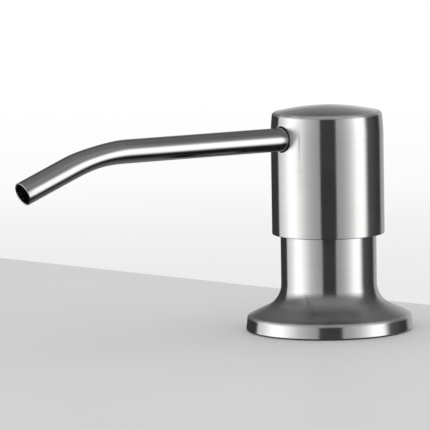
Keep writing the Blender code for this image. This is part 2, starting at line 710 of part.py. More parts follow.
def add_head_cap(group):
    """Drawn metal cap with a low dome on top, open below, and a hole in its side for the spout."""
    steps = 5
    edge = HEAD_RADIUS - HEAD_DRAFT
    crown_start = edge - HEAD_TOP_ROUND
    crown = [
        (crown_start * (1 - step / steps), HEAD_EDGE_Z + HEAD_CROWN * (1 - (1 - step / steps) ** 2))
        for step in range(1, steps + 1)
    ]
    outside = rounded(
        [
            (HEAD_RADIUS, SKIRT_Z),
            (HEAD_RADIUS, HEAD_EDGE_Z - HEAD_DRAFT_LENGTH),
            (edge, HEAD_EDGE_Z, HEAD_TOP_ROUND),
            (crown_start, HEAD_EDGE_Z),
        ]
    )
    draft = HEAD_BORE - HEAD_DRAFT
    ceiling = [
        (draft * step / steps, HEAD_APEX_Z - HEAD_WALL - HEAD_CROWN * (step / steps) ** 2)
        for step in range(steps + 1)
    ]
    skirt = [(HEAD_BORE, HEAD_EDGE_Z - HEAD_DRAFT_LENGTH), (HEAD_BORE, SKIRT_Z), (HEAD_RADIUS, SKIRT_Z)]
    outline = outside[:-1] + crown + ceiling + skirt
    cap = turned("head_cap", outline, FINE, "brushed_steel", group, closed=False)
    reach = HEAD_RADIUS + SPOUT_RADIUS
    hole = rod_mesh("cap_hole", SPOUT_HOLE, HUB_RADIUS, reach, MEDIUM)
    combine(cap, cutter("cap_hole", hole, along_spout(), group), "DIFFERENCE")
    return cap


def add_actuator_core(group):
    """Plastic core of the head: a hub that plugs onto the stem, a seat for the spout, a top disc and ribs."""
    disc = HEAD_BORE - HEAD_DRAFT - CLEARANCE
    disc_z = CORE_TOP_Z - CORE_DISC
    outline = [
        (0, HUB_BOTTOM_Z),
        (HUB_RADIUS, HUB_BOTTOM_Z),
        (HUB_RADIUS, disc_z),
        (disc, disc_z),
        (disc, CORE_TOP_Z),
        (0, CORE_TOP_Z),
    ]
    core = turned("actuator_core", outline, MEDIUM, "white_plastic", group, closed=False)
    rib_reach = disc - CORE_DISC / 2
    rib_low = (HUB_RADIUS / 2, -RIB_THICKNESS / 2, SPOUT_Z - SPOUT_SEAT_RADIUS)
    rib_high = (rib_reach, RIB_THICKNESS / 2, CORE_TOP_Z - CORE_DISC / 2)
    for index, degrees in enumerate((0, 58, -58, 119, -119)):
        rib = cutter(
            f"rib_{index}", box_mesh("rib", rib_low, rib_high), Matrix.Rotation(math.radians(degrees), 4, "Z"), group
        )
        combine(core, rib, "UNION")
    seat_reach = math.sqrt((HEAD_BORE - HEAD_DRAFT - CLEARANCE) ** 2 - SPOUT_SEAT_RADIUS**2)
    seat = rod_mesh("spout_seat", SPOUT_SEAT_RADIUS, HUB_RADIUS / 3, seat_reach, MEDIUM)
    combine(core, cutter("spout_seat", seat, along_spout(), group), "UNION")
    socket = rod_mesh("stem_socket", STEM_HOLE, HUB_BOTTOM_Z - HUB_RADIUS, STEM_TOP_Z + CLEARANCE, SMALL)
    combine(core, cutter("stem_socket", socket, Matrix.Identity(4), group), "DIFFERENCE")
    riser = rod_mesh("riser", STEM_BORE, STEM_TOP_Z - STEM_BORE, SPOUT_Z, 12)
    combine(core, cutter("riser", riser, Matrix.Rotation(math.radians(5), 4, "Z"), group), "DIFFERENCE")
    channel = rod_mesh("channel", STEM_BORE, -STEM_BORE, SPOUT_ROOT + HUB_RADIUS / 2, 12)
    combine(core, cutter("channel", channel, along_spout(), group), "DIFFERENCE")
    bore = rod_mesh("spout_bore", SPOUT_HOLE, SPOUT_ROOT - CLEARANCE, seat_reach + SPOUT_RADIUS, SMALL)
    combine(core, cutter("spout_bore", bore, along_spout(), group), "DIFFERENCE")
    groove_z = SPOUT_ROOT + 4 * SPOUT_O_RING_SECTION
    half = SPOUT_O_RING_SECTION + SEAL_CLEARANCE
    groove_radius = SPOUT_RADIUS + 2 * half + SEAL_CLEARANCE
    groove = rod_mesh("seal_groove", groove_radius, groove_z - half, groove_z + half, SMALL)
    combine(core, cutter("seal_groove", groove, along_spout(), group), "DIFFERENCE")
    return core


def add_spout_o_ring(group):
    major = SPOUT_RADIUS + SEAL_CLEARANCE + SPOUT_O_RING_SECTION
    place = along_spout() @ Matrix.Translation((0, 0, SPOUT_ROOT + 4 * SPOUT_O_RING_SECTION))
    return torus("spout_o_ring", major, SPOUT_O_RING_SECTION, place, SMALL, "black_rubber", group)


def spout_path():
    """Points and directions of the spout's centre line: straight, one bend, straight to the tip."""
    steps = 8

    def heading(angle):
        return Vector((-math.cos(angle), 0, math.sin(angle)))

    point = Vector((0, 0, SPOUT_Z)) + heading(SPOUT_RISE) * SPOUT_ROOT
    path = [(point, SPOUT_RISE)]
    point = Vector((0, 0, SPOUT_Z)) + heading(SPOUT_RISE) * SPOUT_STRAIGHT
    path.append((point, SPOUT_RISE))
    turn = (SPOUT_RISE + SPOUT_DROP) / steps
    for step in range(steps):
        angle = SPOUT_RISE - turn * (step + 0.5)
        point = point + heading(angle) * 2 * SPOUT_BEND * math.sin(turn / 2)
        path.append((point, SPOUT_RISE - turn * (step + 1)))
    path.append((point + heading(-SPOUT_DROP) * SPOUT_TIP, -SPOUT_DROP))
    return path


def add_spout_tube(group):
    """Thin bent tube, swept as one ring of wall along the spout's line."""
    segments = 24
    bm = bmesh.new()
    rings = []
    for point, angle in spout_path():
        across = Vector((math.sin(angle), 0, math.cos(angle)))
        wall = []
        for radius in (SPOUT_RADIUS, SPOUT_RADIUS - SPOUT_WALL):
            for index in range(segments):
                turn = math.tau * index / segments
                offset = across * math.cos(turn) + Vector((0, 1, 0)) * math.sin(turn)
                wall.append(bm.verts.new(point + offset * radius))
        rings.append((wall[:segments], wall[segments:]))
    for (outer, inner), (next_outer, next_inner) in zip(rings, rings[1:]):
        for index in range(segments):
            after = (index + 1) % segments
            bm.faces.new((outer[index], outer[after], next_outer[after], next_outer[index]))
            bm.faces.new((inner[index], next_inner[index], next_inner[after], inner[after]))
    for outer, inner in (rings[0], rings[-1]):
        for index in range(segments):
            after = (index + 1) % segments
            bm.faces.new((outer[index], inner[index], inner[after], outer[after]))
    return add_piece("spout_tube", closed_mesh(bm, "spout_tube"), "bright_steel", group)


def build():
    clear_scene()
    base = add_group("base")
    add_base_flange(base)
    add_base_gasket(base)
    add_threaded_shank(base)

    clamp = add_group("clamp_stack", (0, 0, -DECK_GAP), base)
    add_deck_washer(clamp)
    add_thrust_washer(clamp)
    nut = add_group("nut", (0, 0, NUT_TOP_Z + DECK_GAP), clamp)
    add_mounting_nut(nut)

    seal = add_group("bottle_seal", (0, 0, BOTTLE_GASKET_TOP_Z), base)
    add_bottle_gasket(seal)
    add_bottle(add_group("reservoir", (0, 0, 0), seal))

    pump = add_group("pump", (0, 0, NECK_TOP_Z), base)
    add_pump_collar(pump)
    add_collar_o_ring(pump)
    add_housing_gasket(pump)
    add_pump_housing(pump)
    add_stem_guide(pump)
    add_spring_seat(pump)
    add_return_spring(pump)
    add_dip_tube(pump)
    inlet = add_group("inlet_valve", (0, 0, 0), pump)
    add_ball("inlet_ball", INLET_BALL_RADIUS, ball_height(INLET_BALL_RADIUS, INLET_SEAT_Z), inlet)

    plunger = add_group("plunger", (0, 0, 0), pump)
    add_piston(plunger)
    add_stem(plunger)
    outlet = add_group("outlet_valve", (0, 0, 0), plunger)
    add_ball("outlet_ball", OUTLET_BALL_RADIUS, ball_height(OUTLET_BALL_RADIUS, outlet_seat_z()), outlet)

    head = add_group("head", (0, 0, 0), plunger)
    add_head_cap(head)
    add_actuator_core(head)
    add_spout_o_ring(head)
    add_spout_tube(head)


build()
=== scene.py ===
"""Looks of a deck-mounted soap dispenser: fine turned, swept and threaded surfaces over its solids,
their finishes, a pale deck, studio light and a camera.
"""

import json
import math

import bmesh
import bpy
import numpy as np
from bpy.props import FloatProperty, FloatVectorProperty, IntProperty, PointerProperty
from mathutils import Matrix, Vector

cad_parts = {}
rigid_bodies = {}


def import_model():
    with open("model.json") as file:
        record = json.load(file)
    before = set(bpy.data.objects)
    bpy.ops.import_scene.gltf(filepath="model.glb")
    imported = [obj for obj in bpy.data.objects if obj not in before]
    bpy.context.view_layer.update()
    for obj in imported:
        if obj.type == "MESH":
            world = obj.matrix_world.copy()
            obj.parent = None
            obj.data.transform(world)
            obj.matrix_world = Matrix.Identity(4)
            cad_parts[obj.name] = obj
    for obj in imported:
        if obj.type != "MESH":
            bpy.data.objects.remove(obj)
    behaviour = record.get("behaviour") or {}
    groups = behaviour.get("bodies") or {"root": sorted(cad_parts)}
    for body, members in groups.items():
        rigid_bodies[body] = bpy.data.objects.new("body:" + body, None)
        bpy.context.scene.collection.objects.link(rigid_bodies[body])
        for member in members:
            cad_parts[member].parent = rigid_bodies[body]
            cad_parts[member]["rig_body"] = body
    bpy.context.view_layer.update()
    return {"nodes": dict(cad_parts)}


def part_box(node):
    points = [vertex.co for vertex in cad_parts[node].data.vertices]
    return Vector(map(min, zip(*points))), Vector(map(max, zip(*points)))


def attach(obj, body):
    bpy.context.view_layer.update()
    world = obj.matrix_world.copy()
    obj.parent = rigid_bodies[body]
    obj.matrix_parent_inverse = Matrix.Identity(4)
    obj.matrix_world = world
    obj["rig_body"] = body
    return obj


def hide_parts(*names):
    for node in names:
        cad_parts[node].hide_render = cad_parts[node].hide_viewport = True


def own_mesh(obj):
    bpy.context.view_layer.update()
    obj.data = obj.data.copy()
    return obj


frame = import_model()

bl_info = {
    "name": "Soap dispenser looks",
    "version": (1, 0, 0),
    "blender": (4, 5, 0),
    "location": "View3D > Sidebar > Dispenser",
    "description": "Builds the fine surfaces, finishes and studio of a deck-mounted soap dispenser",
    "category": "Object",
}

MM = 0.001
TAU = math.tau


def bottom(node):
    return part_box(node)[0][2]


def top(node):
    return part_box(node)[1][2]


def radius(node):
    """Half of the node's width across the spout, which is its outer radius on a turned node."""
    low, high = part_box(node)
    return (high[1] - low[1]) / 2


def length(name, description, default, **limits):
    """A size in metres for a settings panel, given in millimetres."""
    return FloatProperty(
        name=name, description=description, default=default * MM, unit="LENGTH", precision=5, **limits
    )


def angle(name, description, degrees):
    return FloatProperty(name=name, description=description, default=math.radians(degrees), unit="ROTATION")


def share(name, description, default):
    return FloatProperty(name=name, description=description, default=default, subtype="FACTOR", min=0, max=1)


def colour(name, description, default):
    return FloatVectorProperty(
        name=name, description=description, default=default, subtype="COLOR", size=3, min=0, max=1
    )


# Settings


class BaseSettings(bpy.types.PropertyGroup):
    rim_taper: length("Rim taper", "How far the rim leans in over its height", 0.5)
    rim_height: length("Rim height", "Height of the shoulder over the deck", 4.3)
    rim_round: length("Shoulder rounding", "Radius where the rim turns into the flare", 1.1)
    flare_height: length("Flare height", "Height where the flare would meet the neck", 9.056)
    flare_round: length("Flare rounding", "Radius where the flare turns up into the neck", 7.6)
    neck_radius: length("Neck radius", "Outer radius of the neck", 14.3)
    neck_bore: length("Neck bore", "Inner radius of the neck", 12.6)
    rim_lip: length("Rim lip", "Width of the metal round the gasket's recess", 0.5)
    recess: length("Recess height", "Height of the recess over the deck", 2.1)


class HeadSettings(bpy.types.PropertyGroup):
    wall: length("Wall", "Thickness of the drawn cap", 1.1)
    draft: length("Draft", "How far the wall draws in under its top edge", 0.45)
    draft_length: length("Draft length", "Height of the part that draws in", 6.5)
    edge_round: length("Edge rounding", "Radius of the cap's top edge", 1.0)
    crown: length("Crown", "Rise of the top in its middle", 1.8)
    hole_gap: length("Hole gap", "Gap round the spout where it enters the cap", 0.3)
    hole_roll: length("Hole rounding", "Rounding of the hole's edge", 0.25)


class SpoutSettings(bpy.types.PropertyGroup):
    tube_radius: length("Tube radius", "Outer radius of the spout", 3.5)
    tube_wall: length("Tube wall", "Thickness of the spout's wall", 0.45)
    height: length("Height", "Height of the spout's line at the turning axis", 57.878)
    rise: angle("Rise", "How far the spout's root rises", 0.65)
    drop: angle("Drop", "How far the spout's tip points down", 21.0)
    straight: length("Straight", "From the turning axis to the bend", 70.9)
    bend: length("Bend radius", "Radius of the bend's centre line", 55.1)
    tip: length("Tip", "Straight length after the bend", 16.7)
    root: length("Root", "From the turning axis to the tube's inner end", 7.5)
    squeeze: share("Squeeze", "How much the bend flattens the tube", 0.07)


class ClampSettings(bpy.types.PropertyGroup):
    shank_bore: length("Shank bore", "Inner radius of the threaded shank", 11.0)
    shank_root: length("Shank root", "Radius at the bottom of the shank's thread", 12.3)
    thread_depth: length("Thread depth", "Height of the thread", 1.2)
    thread_pitch: length("Thread pitch", "Rise of the thread in one turn", 4.0)
    thread_gap: length("Thread gap", "Radial gap between the threads", 0.35)
    washer_bore: length("Washer bore", "Inner radius of the washers and gaskets", 13.8)
    nut_radius: length("Nut radius", "Outer radius of the nut's body", 18.05)
    nut_flange: length("Nut flange", "Outer radius of the nut's flange", 21.05)
    wing_reach: length("Wing reach", "Radius of the wings' ends", 27.05)
    wing_half: length("Half wing", "Half the thickness of a wing", 1.6)
    wings: IntProperty(name="Wings", description="Number of wings on the nut", default=4, min=2, max=8)


class BottleSettings(bpy.types.PropertyGroup):
    wall: length("Wall", "Thickness of the bottle", 1.5)
    neck_wall: length("Neck wall", "Thickness of the bottle's neck", 2.4)
    shoulder: length("Shoulder", "Height of the shoulder, and its rounding", 12.0)
    foot_round: length("Foot rounding", "Rounding of the bottle's foot", 6.0)
    push_up: length("Push-up", "Rise of the bottle's floor in its middle", 2.0)
    ribs: IntProperty(name="Ribs", description="Grip ribs round the bottle's neck", default=36, min=0, max=90)
    rib_depth: length("Rib depth", "Depth of the grooves between the ribs", 0.45)


class PumpSettings(bpy.types.PropertyGroup):
    barrel_radius: length("Barrel radius", "Outer radius of the pump's barrel", 8.0)
    barrel_bore: length("Barrel bore", "Inner radius of the pump's barrel", 6.6)
    stem_radius: length("Stem radius", "Outer radius of the stem", 3.2)
    stem_bore: length("Stem bore", "Inner radius of the stem", 1.3)
    dip_bore: length("Dip tube bore", "Inner radius of the dip tube", 2.1)
    wire: length("Spring wire", "Diameter of the return spring's wire", 0.9)
    turns: IntProperty(name="Turns", description="Turns of the return spring", default=8, min=3, max=20)
    fit: length("Fit", "Gap between pieces that slide or rest in each other", 0.3)
    stroke: length("Stroke", "How far the head is pressed, which shortens the spring", 14.0)


class FinishSettings(bpy.types.PropertyGroup):
    steel: colour("Turned steel", "Colour of the base and the head", (0.60, 0.595, 0.59))
    steel_rough: share("Turned steel roughness", "Roughness of the base and the head", 0.16)
    spout_steel: colour("Spout steel", "Colour of the spout", (0.60, 0.595, 0.60))
    spout_rough: share("Spout roughness", "Roughness of the spout", 0.15)
    spring: colour("Spring steel", "Colour of the spring's wire", (0.52, 0.52, 0.53))
    rubber: colour("Rubber", "Colour of the washers, gaskets and O-rings", (0.018, 0.018, 0.019))
    shank: colour("Shank plastic", "Colour of the shank and the nut", (0.055, 0.056, 0.06))
    white: colour("White plastic", "Colour of the collar, the guide and the core", (0.78, 0.78, 0.76))
    natural: colour("Natural plastic", "Colour of the pump's milky pieces", (0.72, 0.74, 0.72))
    bottle: colour("Bottle plastic", "Colour of the bottle", (0.74, 0.77, 0.78))
    deck: colour("Deck", "Colour of the deck", (0.625, 0.625, 0.63))


class StageSettings(bpy.types.PropertyGroup):
    azimuth: angle("Azimuth", "Where the camera stands round the axis", -34.0)
    elevation: angle("Elevation", "The camera's height over the horizon", 7.1)
    roll: angle("Roll", "The camera's roll", -0.97)
    distance: length("Distance", "From the camera to the point it looks at", 1397.3)
    lens: FloatProperty(name="Lens", description="Focal length of the camera", default=392.0, unit="CAMERA")
    deck_thickness: length("Deck thickness", "Thickness of the deck's sheet", 0.9)
    deck_hole: length("Deck hole", "Radius of the hole in the deck", 16.0)


GROUPS = {
    "base": BaseSettings,
    "head": HeadSettings,
    "spout": SpoutSettings,
    "clamp": ClampSettings,
    "bottle": BottleSettings,
    "pump": PumpSettings,
    "finish": FinishSettings,
    "stage": StageSettings,
}


class DispenserSettings(bpy.types.PropertyGroup):
    """All the sizes and colours of the dispenser's looks."""

    base: PointerProperty(type=BaseSettings, name="Base", description="Sizes of the base")
    head: PointerProperty(type=HeadSettings, name="Head", description="Sizes of the press head")
    spout: PointerProperty(type=SpoutSettings, name="Spout", description="Sizes of the spout")
    clamp: PointerProperty(type=ClampSettings, name="Clamp", description="Sizes of the shank and clamp")
    bottle: PointerProperty(type=BottleSettings, name="Bottle", description="Sizes of the bottle")
    pump: PointerProperty(type=PumpSettings, name="Pump", description="Sizes of the pump")
    finish: PointerProperty(type=FinishSettings, name="Finishes", description="Colours and roughness")
    stage: PointerProperty(type=StageSettings, name="Stage", description="The deck and the camera")


# Surfaces


def sheet_faces(rows, columns):
    """Quads of a grid of points, row by row."""
    index = np.arange(rows * columns).reshape(rows, columns)
    corners = (index[:-1, :-1], index[:-1, 1:], index[1:, 1:], index[1:, :-1])
    return np.stack(corners, axis=-1).reshape(-1, 4)


def build(name, sheets, finish, smooth=35):
    """One object from grids of points (rows, columns, 3) that share their borders: they are welded there,
    a row that lies in one point becomes a pole, and the faces are turned outwards."""
    points, faces, start = [], [], 0
    for sheet in sheets:
        rows, columns = sheet.shape[:2]
        points.append(sheet.reshape(-1, 3))
        faces.append(sheet_faces(rows, columns) + start)
        start += rows * columns
    mesh = bpy.data.meshes.new(name)
    mesh.from_pydata(np.concatenate(points).tolist(), [], np.concatenate(faces).tolist())
    bm = bmesh.new()
    bm.from_mesh(mesh)
    bmesh.ops.remove_doubles(bm, verts=bm.verts, dist=2e-6)
    bmesh.ops.recalc_face_normals(bm, faces=bm.faces)
    bm.to_mesh(mesh)
    bm.free()
    mesh.shade_smooth()
    mesh.set_sharp_from_angle(angle=math.radians(smooth))
    mesh.materials.append(finish)
    piece = bpy.data.objects.new(name, mesh)
    bpy.context.scene.collection.objects.link(piece)
    return piece


def add_piece(node, sheets, finish, smooth=35):
    """A fine surface that stands for one solid, on that solid's body and in its finish's slot."""
    piece = build(node + "_fine", sheets, finish, smooth)
    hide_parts(node)
    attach(piece, BODY_OF[node])
    # The deck hides what is under it from the gloss above, though gloss doesn't see the deck. The base is
    # left out too, so that its flare and the spout's underside mirror the even studio.
    piece.visible_glossy = bottom(node) > -0.001 and node != "base_flange"
    return piece


def outline(corners, steps=7, closed=True):
    """Points (radius, height) of an outline given as corners (radius, height[, rounding]) in millimetres.
    Each rounding is an arc of equal steps, and each straight run gets a point close to either end of it."""
    made = []
    for index, corner in enumerate(corners):
        here = np.array(corner[:2], float)
        if len(corner) == 2:
            made.append(here[None])
            continue
        before = np.array(corners[index - 1][:2], float) - here
        after = np.array(corners[(index + 1) % len(corners)][:2], float) - here
        before /= np.linalg.norm(before)
        after /= np.linalg.norm(after)
        half = math.acos(np.clip(before @ after, -1, 1)) / 2
        reach = corner[2] / math.tan(half)
        middle = before + after
        centre = here + middle / np.linalg.norm(middle) * corner[2] / math.sin(half)
        first = here + before * reach - centre
        turn = before[0] * after[1] - before[1] * after[0]
        sweep = (math.pi - 2 * half) * (1 if turn < 0 else -1) * np.linspace(0, 1, steps + 1)
        cos, sin = np.cos(sweep), np.sin(sweep)
        arc = np.stack((cos * first[0] - sin * first[1], sin * first[0] + cos * first[1]), axis=-1)
        made.append(centre + arc)
    points = np.concatenate(made)
    if closed:
        points = np.concatenate((points, points[:1]))
    run = np.diff(points, axis=0)
    size = np.linalg.norm(run, axis=1, keepdims=True)
    near = np.minimum(0.08 / np.maximum(size, 1e-9), 0.4)
    near = np.where(size > 0.5, near, 0)
    held = np.stack((points[:-1], points[:-1] + run * near, points[1:] - run * near), axis=1)
    keep = np.stack((np.ones(len(run), bool), size[:, 0] > 0.5, size[:, 0] > 0.5), axis=1)
    points = np.concatenate((held[keep], points[-1:]))
    return points * MM


def spun(distance, around, height):
    """Points at a distance from Z, an angle round it and a height."""
    return np.stack((distance * np.cos(around), distance * np.sin(around), height), axis=-1)


def turned(points, angles, ripple=None):
    """A profile (radius, height) carried once round Z. ripple(angle, radius, height) may change the
    radius."""
    distance = np.broadcast_to(points[:, :1], (len(points), len(angles)))
    height = np.broadcast_to(points[:, 1:2], distance.shape)
    around = np.broadcast_to(angles, distance.shape)
    if ripple:
        distance = ripple(around, distance, height)
    return spun(distance, around, height)


def circle(segments):
    return np.linspace(0, TAU, segments + 1)


def ring_sheets(inner, outer, low, high, rounding, segments=160):
    """A turned ring with rounded edges, sizes in metres."""
    i, o, l, h = (value / MM for value in (inner, outer, low, high))
    corners = [(i, l, rounding), (o, l, rounding), (o, h, rounding), (i, h, rounding)]
    return [turned(outline(corners, 6), circle(segments))]


def smooth_step(value):
    value = np.clip(value, 0, 1)
    return value * value * (3 - 2 * value)


def thread(low, high, valley, crest, plain, pitch, angles, fade):
    """A right-hand thread as radius(turn, angle): height is pitch * (turn + angle / tau), and the radius goes
    from valley to crest by a clipped cosine of the turn, then to plain by a smooth step at either end."""
    turns = np.arange(math.floor(low / pitch) - 1, math.ceil(high / pitch) + 1, 1 / 16)[:, None]
    height = (turns + angles / TAU) * pitch
    wave = np.clip(0.5 - 0.75 * np.cos(TAU * (turns - 0.125)), 0, 1)
    depth = smooth_step((height - low) / fade) * smooth_step((high - height) / fade)
    distance = plain + (valley + (crest - valley) * wave - plain) * depth
    height = np.clip(height, low, high)
    around = np.broadcast_to(angles, height.shape)
    return spun(distance, around, height)


def torus(major, minor, place=Matrix.Identity(4), segments=160, sides=28):
    """A circle of radius minor carried round a circle of radius major, then moved by a matrix."""
    around = circle(segments)[None]
    across = circle(sides)[:, None]
    distance = major + minor * np.cos(across)
    x, y = distance * np.cos(around), distance * np.sin(around)
    return moved(np.stack((x, y, np.broadcast_to(minor * np.sin(across), x.shape)), axis=-1), place)


def moved(points, place):
    matrix = np.array(place)
    return points @ matrix[:3, :3].T + matrix[:3, 3]


def ball(centre, size, segments=64):
    """A sphere from pole to pole: radius size * sin(polar), height size * -cos(polar)."""
    polar = np.linspace(0, math.pi, segments // 2 + 1)
    points = np.stack((size * np.sin(polar), centre - size * np.cos(polar)), axis=-1)
    return turned(points, circle(segments))


# Finishes


def new_group(name, inputs, outputs):
    """An empty shader node group with named inputs (name: default) and outputs."""
    group = bpy.data.node_groups.new(name, "ShaderNodeTree")
    for key, default in inputs.items():
        kind = "NodeSocketVector" if key == "Vector" else "NodeSocketFloat"
        socket = group.interface.new_socket(name=key, in_out="INPUT", socket_type=kind)
        if default is not None:
            socket.default_value = default
    for key in outputs:
        group.interface.new_socket(name=key, in_out="OUTPUT", socket_type="NodeSocketFloat")
    return group, group.nodes.new("NodeGroupInput"), group.nodes.new("NodeGroupOutput")


def put(tree, kind, links=None, **settings):
    """A node with its settings, and its inputs linked to sockets or set to values."""
    made = tree.nodes.new(kind)
    for key, value in settings.items():
        setattr(made, key, value)
    for key, value in (links or {}).items():
        if isinstance(value, bpy.types.NodeSocket):
            tree.links.new(value, made.inputs[key])
        else:
            made.inputs[key].default_value = value
    return made


def calc(tree, operation, first, second=0.0, third=0.0):
    return put(tree, "ShaderNodeMath", {0: first, 1: second, 2: third}, operation=operation).outputs[0]


def mix(tree, share, first, second):
    """A value between two others, by a share."""
    return put(tree, "ShaderNodeMix", {"Factor": share, 2: first, 3: second}, data_type="FLOAT").outputs[0]


def blend(tree, first, first_part, second, second_part):
    """Two values, each times its part, added."""
    return calc(tree, "MULTIPLY_ADD", first, first_part, calc(tree, "MULTIPLY", second, second_part))


def clamped(tree, value):
    return put(tree, "ShaderNodeClamp", {"Value": value}).outputs[0]


def vector(tree, operation, links, output=0):
    return put(tree, "ShaderNodeVectorMath", links, operation=operation).outputs[output]


def seeded(group, given, axis):
    """The group's vector, moved along an axis by its seed."""
    shift = put(group, "ShaderNodeCombineXYZ", {axis: given.outputs["Seed"]}).outputs[0]
    return vector(group, "ADD", {0: given.outputs["Vector"], 1: shift})


def noise_at(tree, place, scale, detail, rough=0.5):
    links = {"Vector": place, "Scale": scale, "Detail": detail, "Roughness": rough}
    return put(tree, "ShaderNodeTexNoise", links).outputs["Fac"]


def turning_marks_group():
    """Fine lines round Z, on any turned face: noise over the direction round the axis, which changes slowly,
    and over height less radius, which changes fast."""
    group, given, out = new_group(
        "Turning marks", {"Vector": None, "Spacing": 0.0002, "Arc": 3.0, "Seed": 0.0}, ["Marks"]
    )
    split = put(group, "ShaderNodeSeparateXYZ", {0: given.outputs["Vector"]})
    x, y, z = split.outputs
    flat = put(group, "ShaderNodeCombineXYZ", {0: x, 1: y})
    away = vector(group, "LENGTH", {0: flat.outputs[0]}, "Value")
    unit = vector(group, "NORMALIZE", {0: flat.outputs[0]})
    wide = vector(group, "SCALE", {0: unit, 3: given.outputs["Arc"]})
    line = calc(group, "DIVIDE", calc(group, "SUBTRACT", z, away), given.outputs["Spacing"])
    line = calc(group, "ADD", line, given.outputs["Seed"])
    lift = put(group, "ShaderNodeCombineXYZ", {2: line}).outputs[0]
    place = vector(group, "ADD", {0: wide, 1: lift})
    group.links.new(noise_at(group, place, 1.0, 3.0, 0.65), out.inputs["Marks"])
    return group


def drawing_marks_group():
    """Fine lines along X, as on a drawn tube: noise squeezed across X and stretched along it."""
    group, given, out = new_group(
        "Drawing marks", {"Vector": None, "Spacing": 0.00025, "Length": 0.03, "Seed": 0.0}, ["Marks"]
    )
    x, y, z = put(group, "ShaderNodeSeparateXYZ", {0: given.outputs["Vector"]}).outputs
    along = calc(group, "DIVIDE", x, given.outputs["Length"])
    side = calc(group, "DIVIDE", y, given.outputs["Spacing"])
    height = calc(group, "ADD", calc(group, "DIVIDE", z, given.outputs["Spacing"]), given.outputs["Seed"])
    place = put(group, "ShaderNodeCombineXYZ", {0: along, 1: side, 2: height}).outputs[0]
    group.links.new(noise_at(group, place, 1.0, 2.0), out.inputs["Marks"])
    return group


def blotches_group():
    """Soft patches, as handling and polishing leave: noise whose contrast is raised round its middle."""
    group, given, out = new_group(
        "Blotches", {"Vector": None, "Size": 0.01, "Contrast": 2.0, "Seed": 0.0}, ["Blotches"]
    )
    scale = calc(group, "DIVIDE", 1.0, given.outputs["Size"])
    noise = noise_at(group, seeded(group, given, 0), scale, 4.0, 0.55)
    centred = calc(group, "SUBTRACT", noise, 0.5)
    raised = calc(group, "MULTIPLY_ADD", centred, given.outputs["Contrast"], 0.5)
    group.links.new(clamped(group, raised), out.inputs["Blotches"])
    return group


def grain_group():
    """Moulded grain: fine cells mixed with finer noise."""
    group, given, out = new_group("Moulded grain", {"Vector": None, "Size": 0.0004, "Seed": 0.0}, ["Grain"])
    scale = calc(group, "DIVIDE", 1.0, given.outputs["Size"])
    place = seeded(group, given, 1)
    cells = put(group, "ShaderNodeTexVoronoi", {"Vector": place, "Scale": scale}, feature="SMOOTH_F1")
    fine = noise_at(group, place, calc(group, "MULTIPLY", scale, 2.3), 2.0)
    group.links.new(blend(group, fine, 0.5, cells.outputs[0], 0.6), out.inputs["Grain"])
    return group


def highlight_and_coarse_ring_group():
    """A ring mask, used for a painted highlight on an edge and for a band turned coarser: full at a height,
    gone a width above and below it, and broken up by noise."""
    group, given, out = new_group(
        "Worn edge", {"Vector": None, "Height": 0.0, "Width": 0.0005, "Wear": 1.0, "Seed": 0.0}, ["Worn"]
    )
    height = put(group, "ShaderNodeSeparateXYZ", {0: given.outputs["Vector"]}).outputs[2]
    away = calc(group, "ABSOLUTE", calc(group, "SUBTRACT", height, given.outputs["Height"]))
    ring = calc(group, "SUBTRACT", 1.0, calc(group, "DIVIDE", away, given.outputs["Width"]))
    noise = noise_at(group, seeded(group, given, 1), 260.0, 3.0)
    broken = calc(group, "MULTIPLY_ADD", noise, 0.9, 0.45)
    full = calc(group, "MULTIPLY", clamped(group, calc(group, "MULTIPLY", ring, 1.6)), broken)
    band_mask = clamped(group, calc(group, "MULTIPLY", full, given.outputs["Wear"]))
    group.links.new(band_mask, out.inputs["Worn"])
    return group


def effect(tree, name, **inputs):
    """One of the shared effect groups, placed in a material with its own values and object coordinates."""
    made = tree.nodes.new("ShaderNodeGroup")
    made.node_tree = bpy.data.node_groups[name]
    place = put(tree, "ShaderNodeTexCoord").outputs["Object"]
    tree.links.new(place, made.inputs["Vector"])
    for key, value in inputs.items():
        made.inputs[key].default_value = value
    return made.outputs[0]


def spread(tree, value, low, high):
    """Maps 0 to 1 onto low to high."""
    return put(tree, "ShaderNodeMapRange", {"Value": value, "To Min": low, "To Max": high}).outputs[0]


def tint(tree, value, base, low, high):
    """The base colour times a brightness between low and high."""
    ramp = put(tree, "ShaderNodeMapRange", {"Value": value, "To Min": low, "To Max": high}).outputs[0]
    grey = put(tree, "ShaderNodeCombineColor", {0: ramp, 1: ramp, 2: ramp}).outputs[0]
    mixed = put(tree, "ShaderNodeMix", data_type="RGBA", blend_type="MULTIPLY")
    mixed.inputs["Factor"].default_value = 1
    tree.links.new(grey, mixed.inputs[6])
    mixed.inputs[7].default_value = (*base, 1)
    return mixed.outputs[2]


def bump(tree, height, distance, strength=1.0, normal=None):
    links = {"Height": height, "Distance": distance, "Strength": strength}
    if normal:
        links["Normal"] = normal
    return put(tree, "ShaderNodeBump", links).outputs[0]


def new_finish(name, **constants):
    material = bpy.data.materials.new(name)
    material.use_nodes = True
    shader = material.node_tree.nodes["Principled BSDF"]
    for key, value in constants.items():
        shader.inputs[key.replace("_", " ")].default_value = value
    return material, material.node_tree, shader


def connect(tree, shader, **sockets):
    for key, socket in sockets.items():
        tree.links.new(socket, shader.inputs[key.replace("_", " ")])


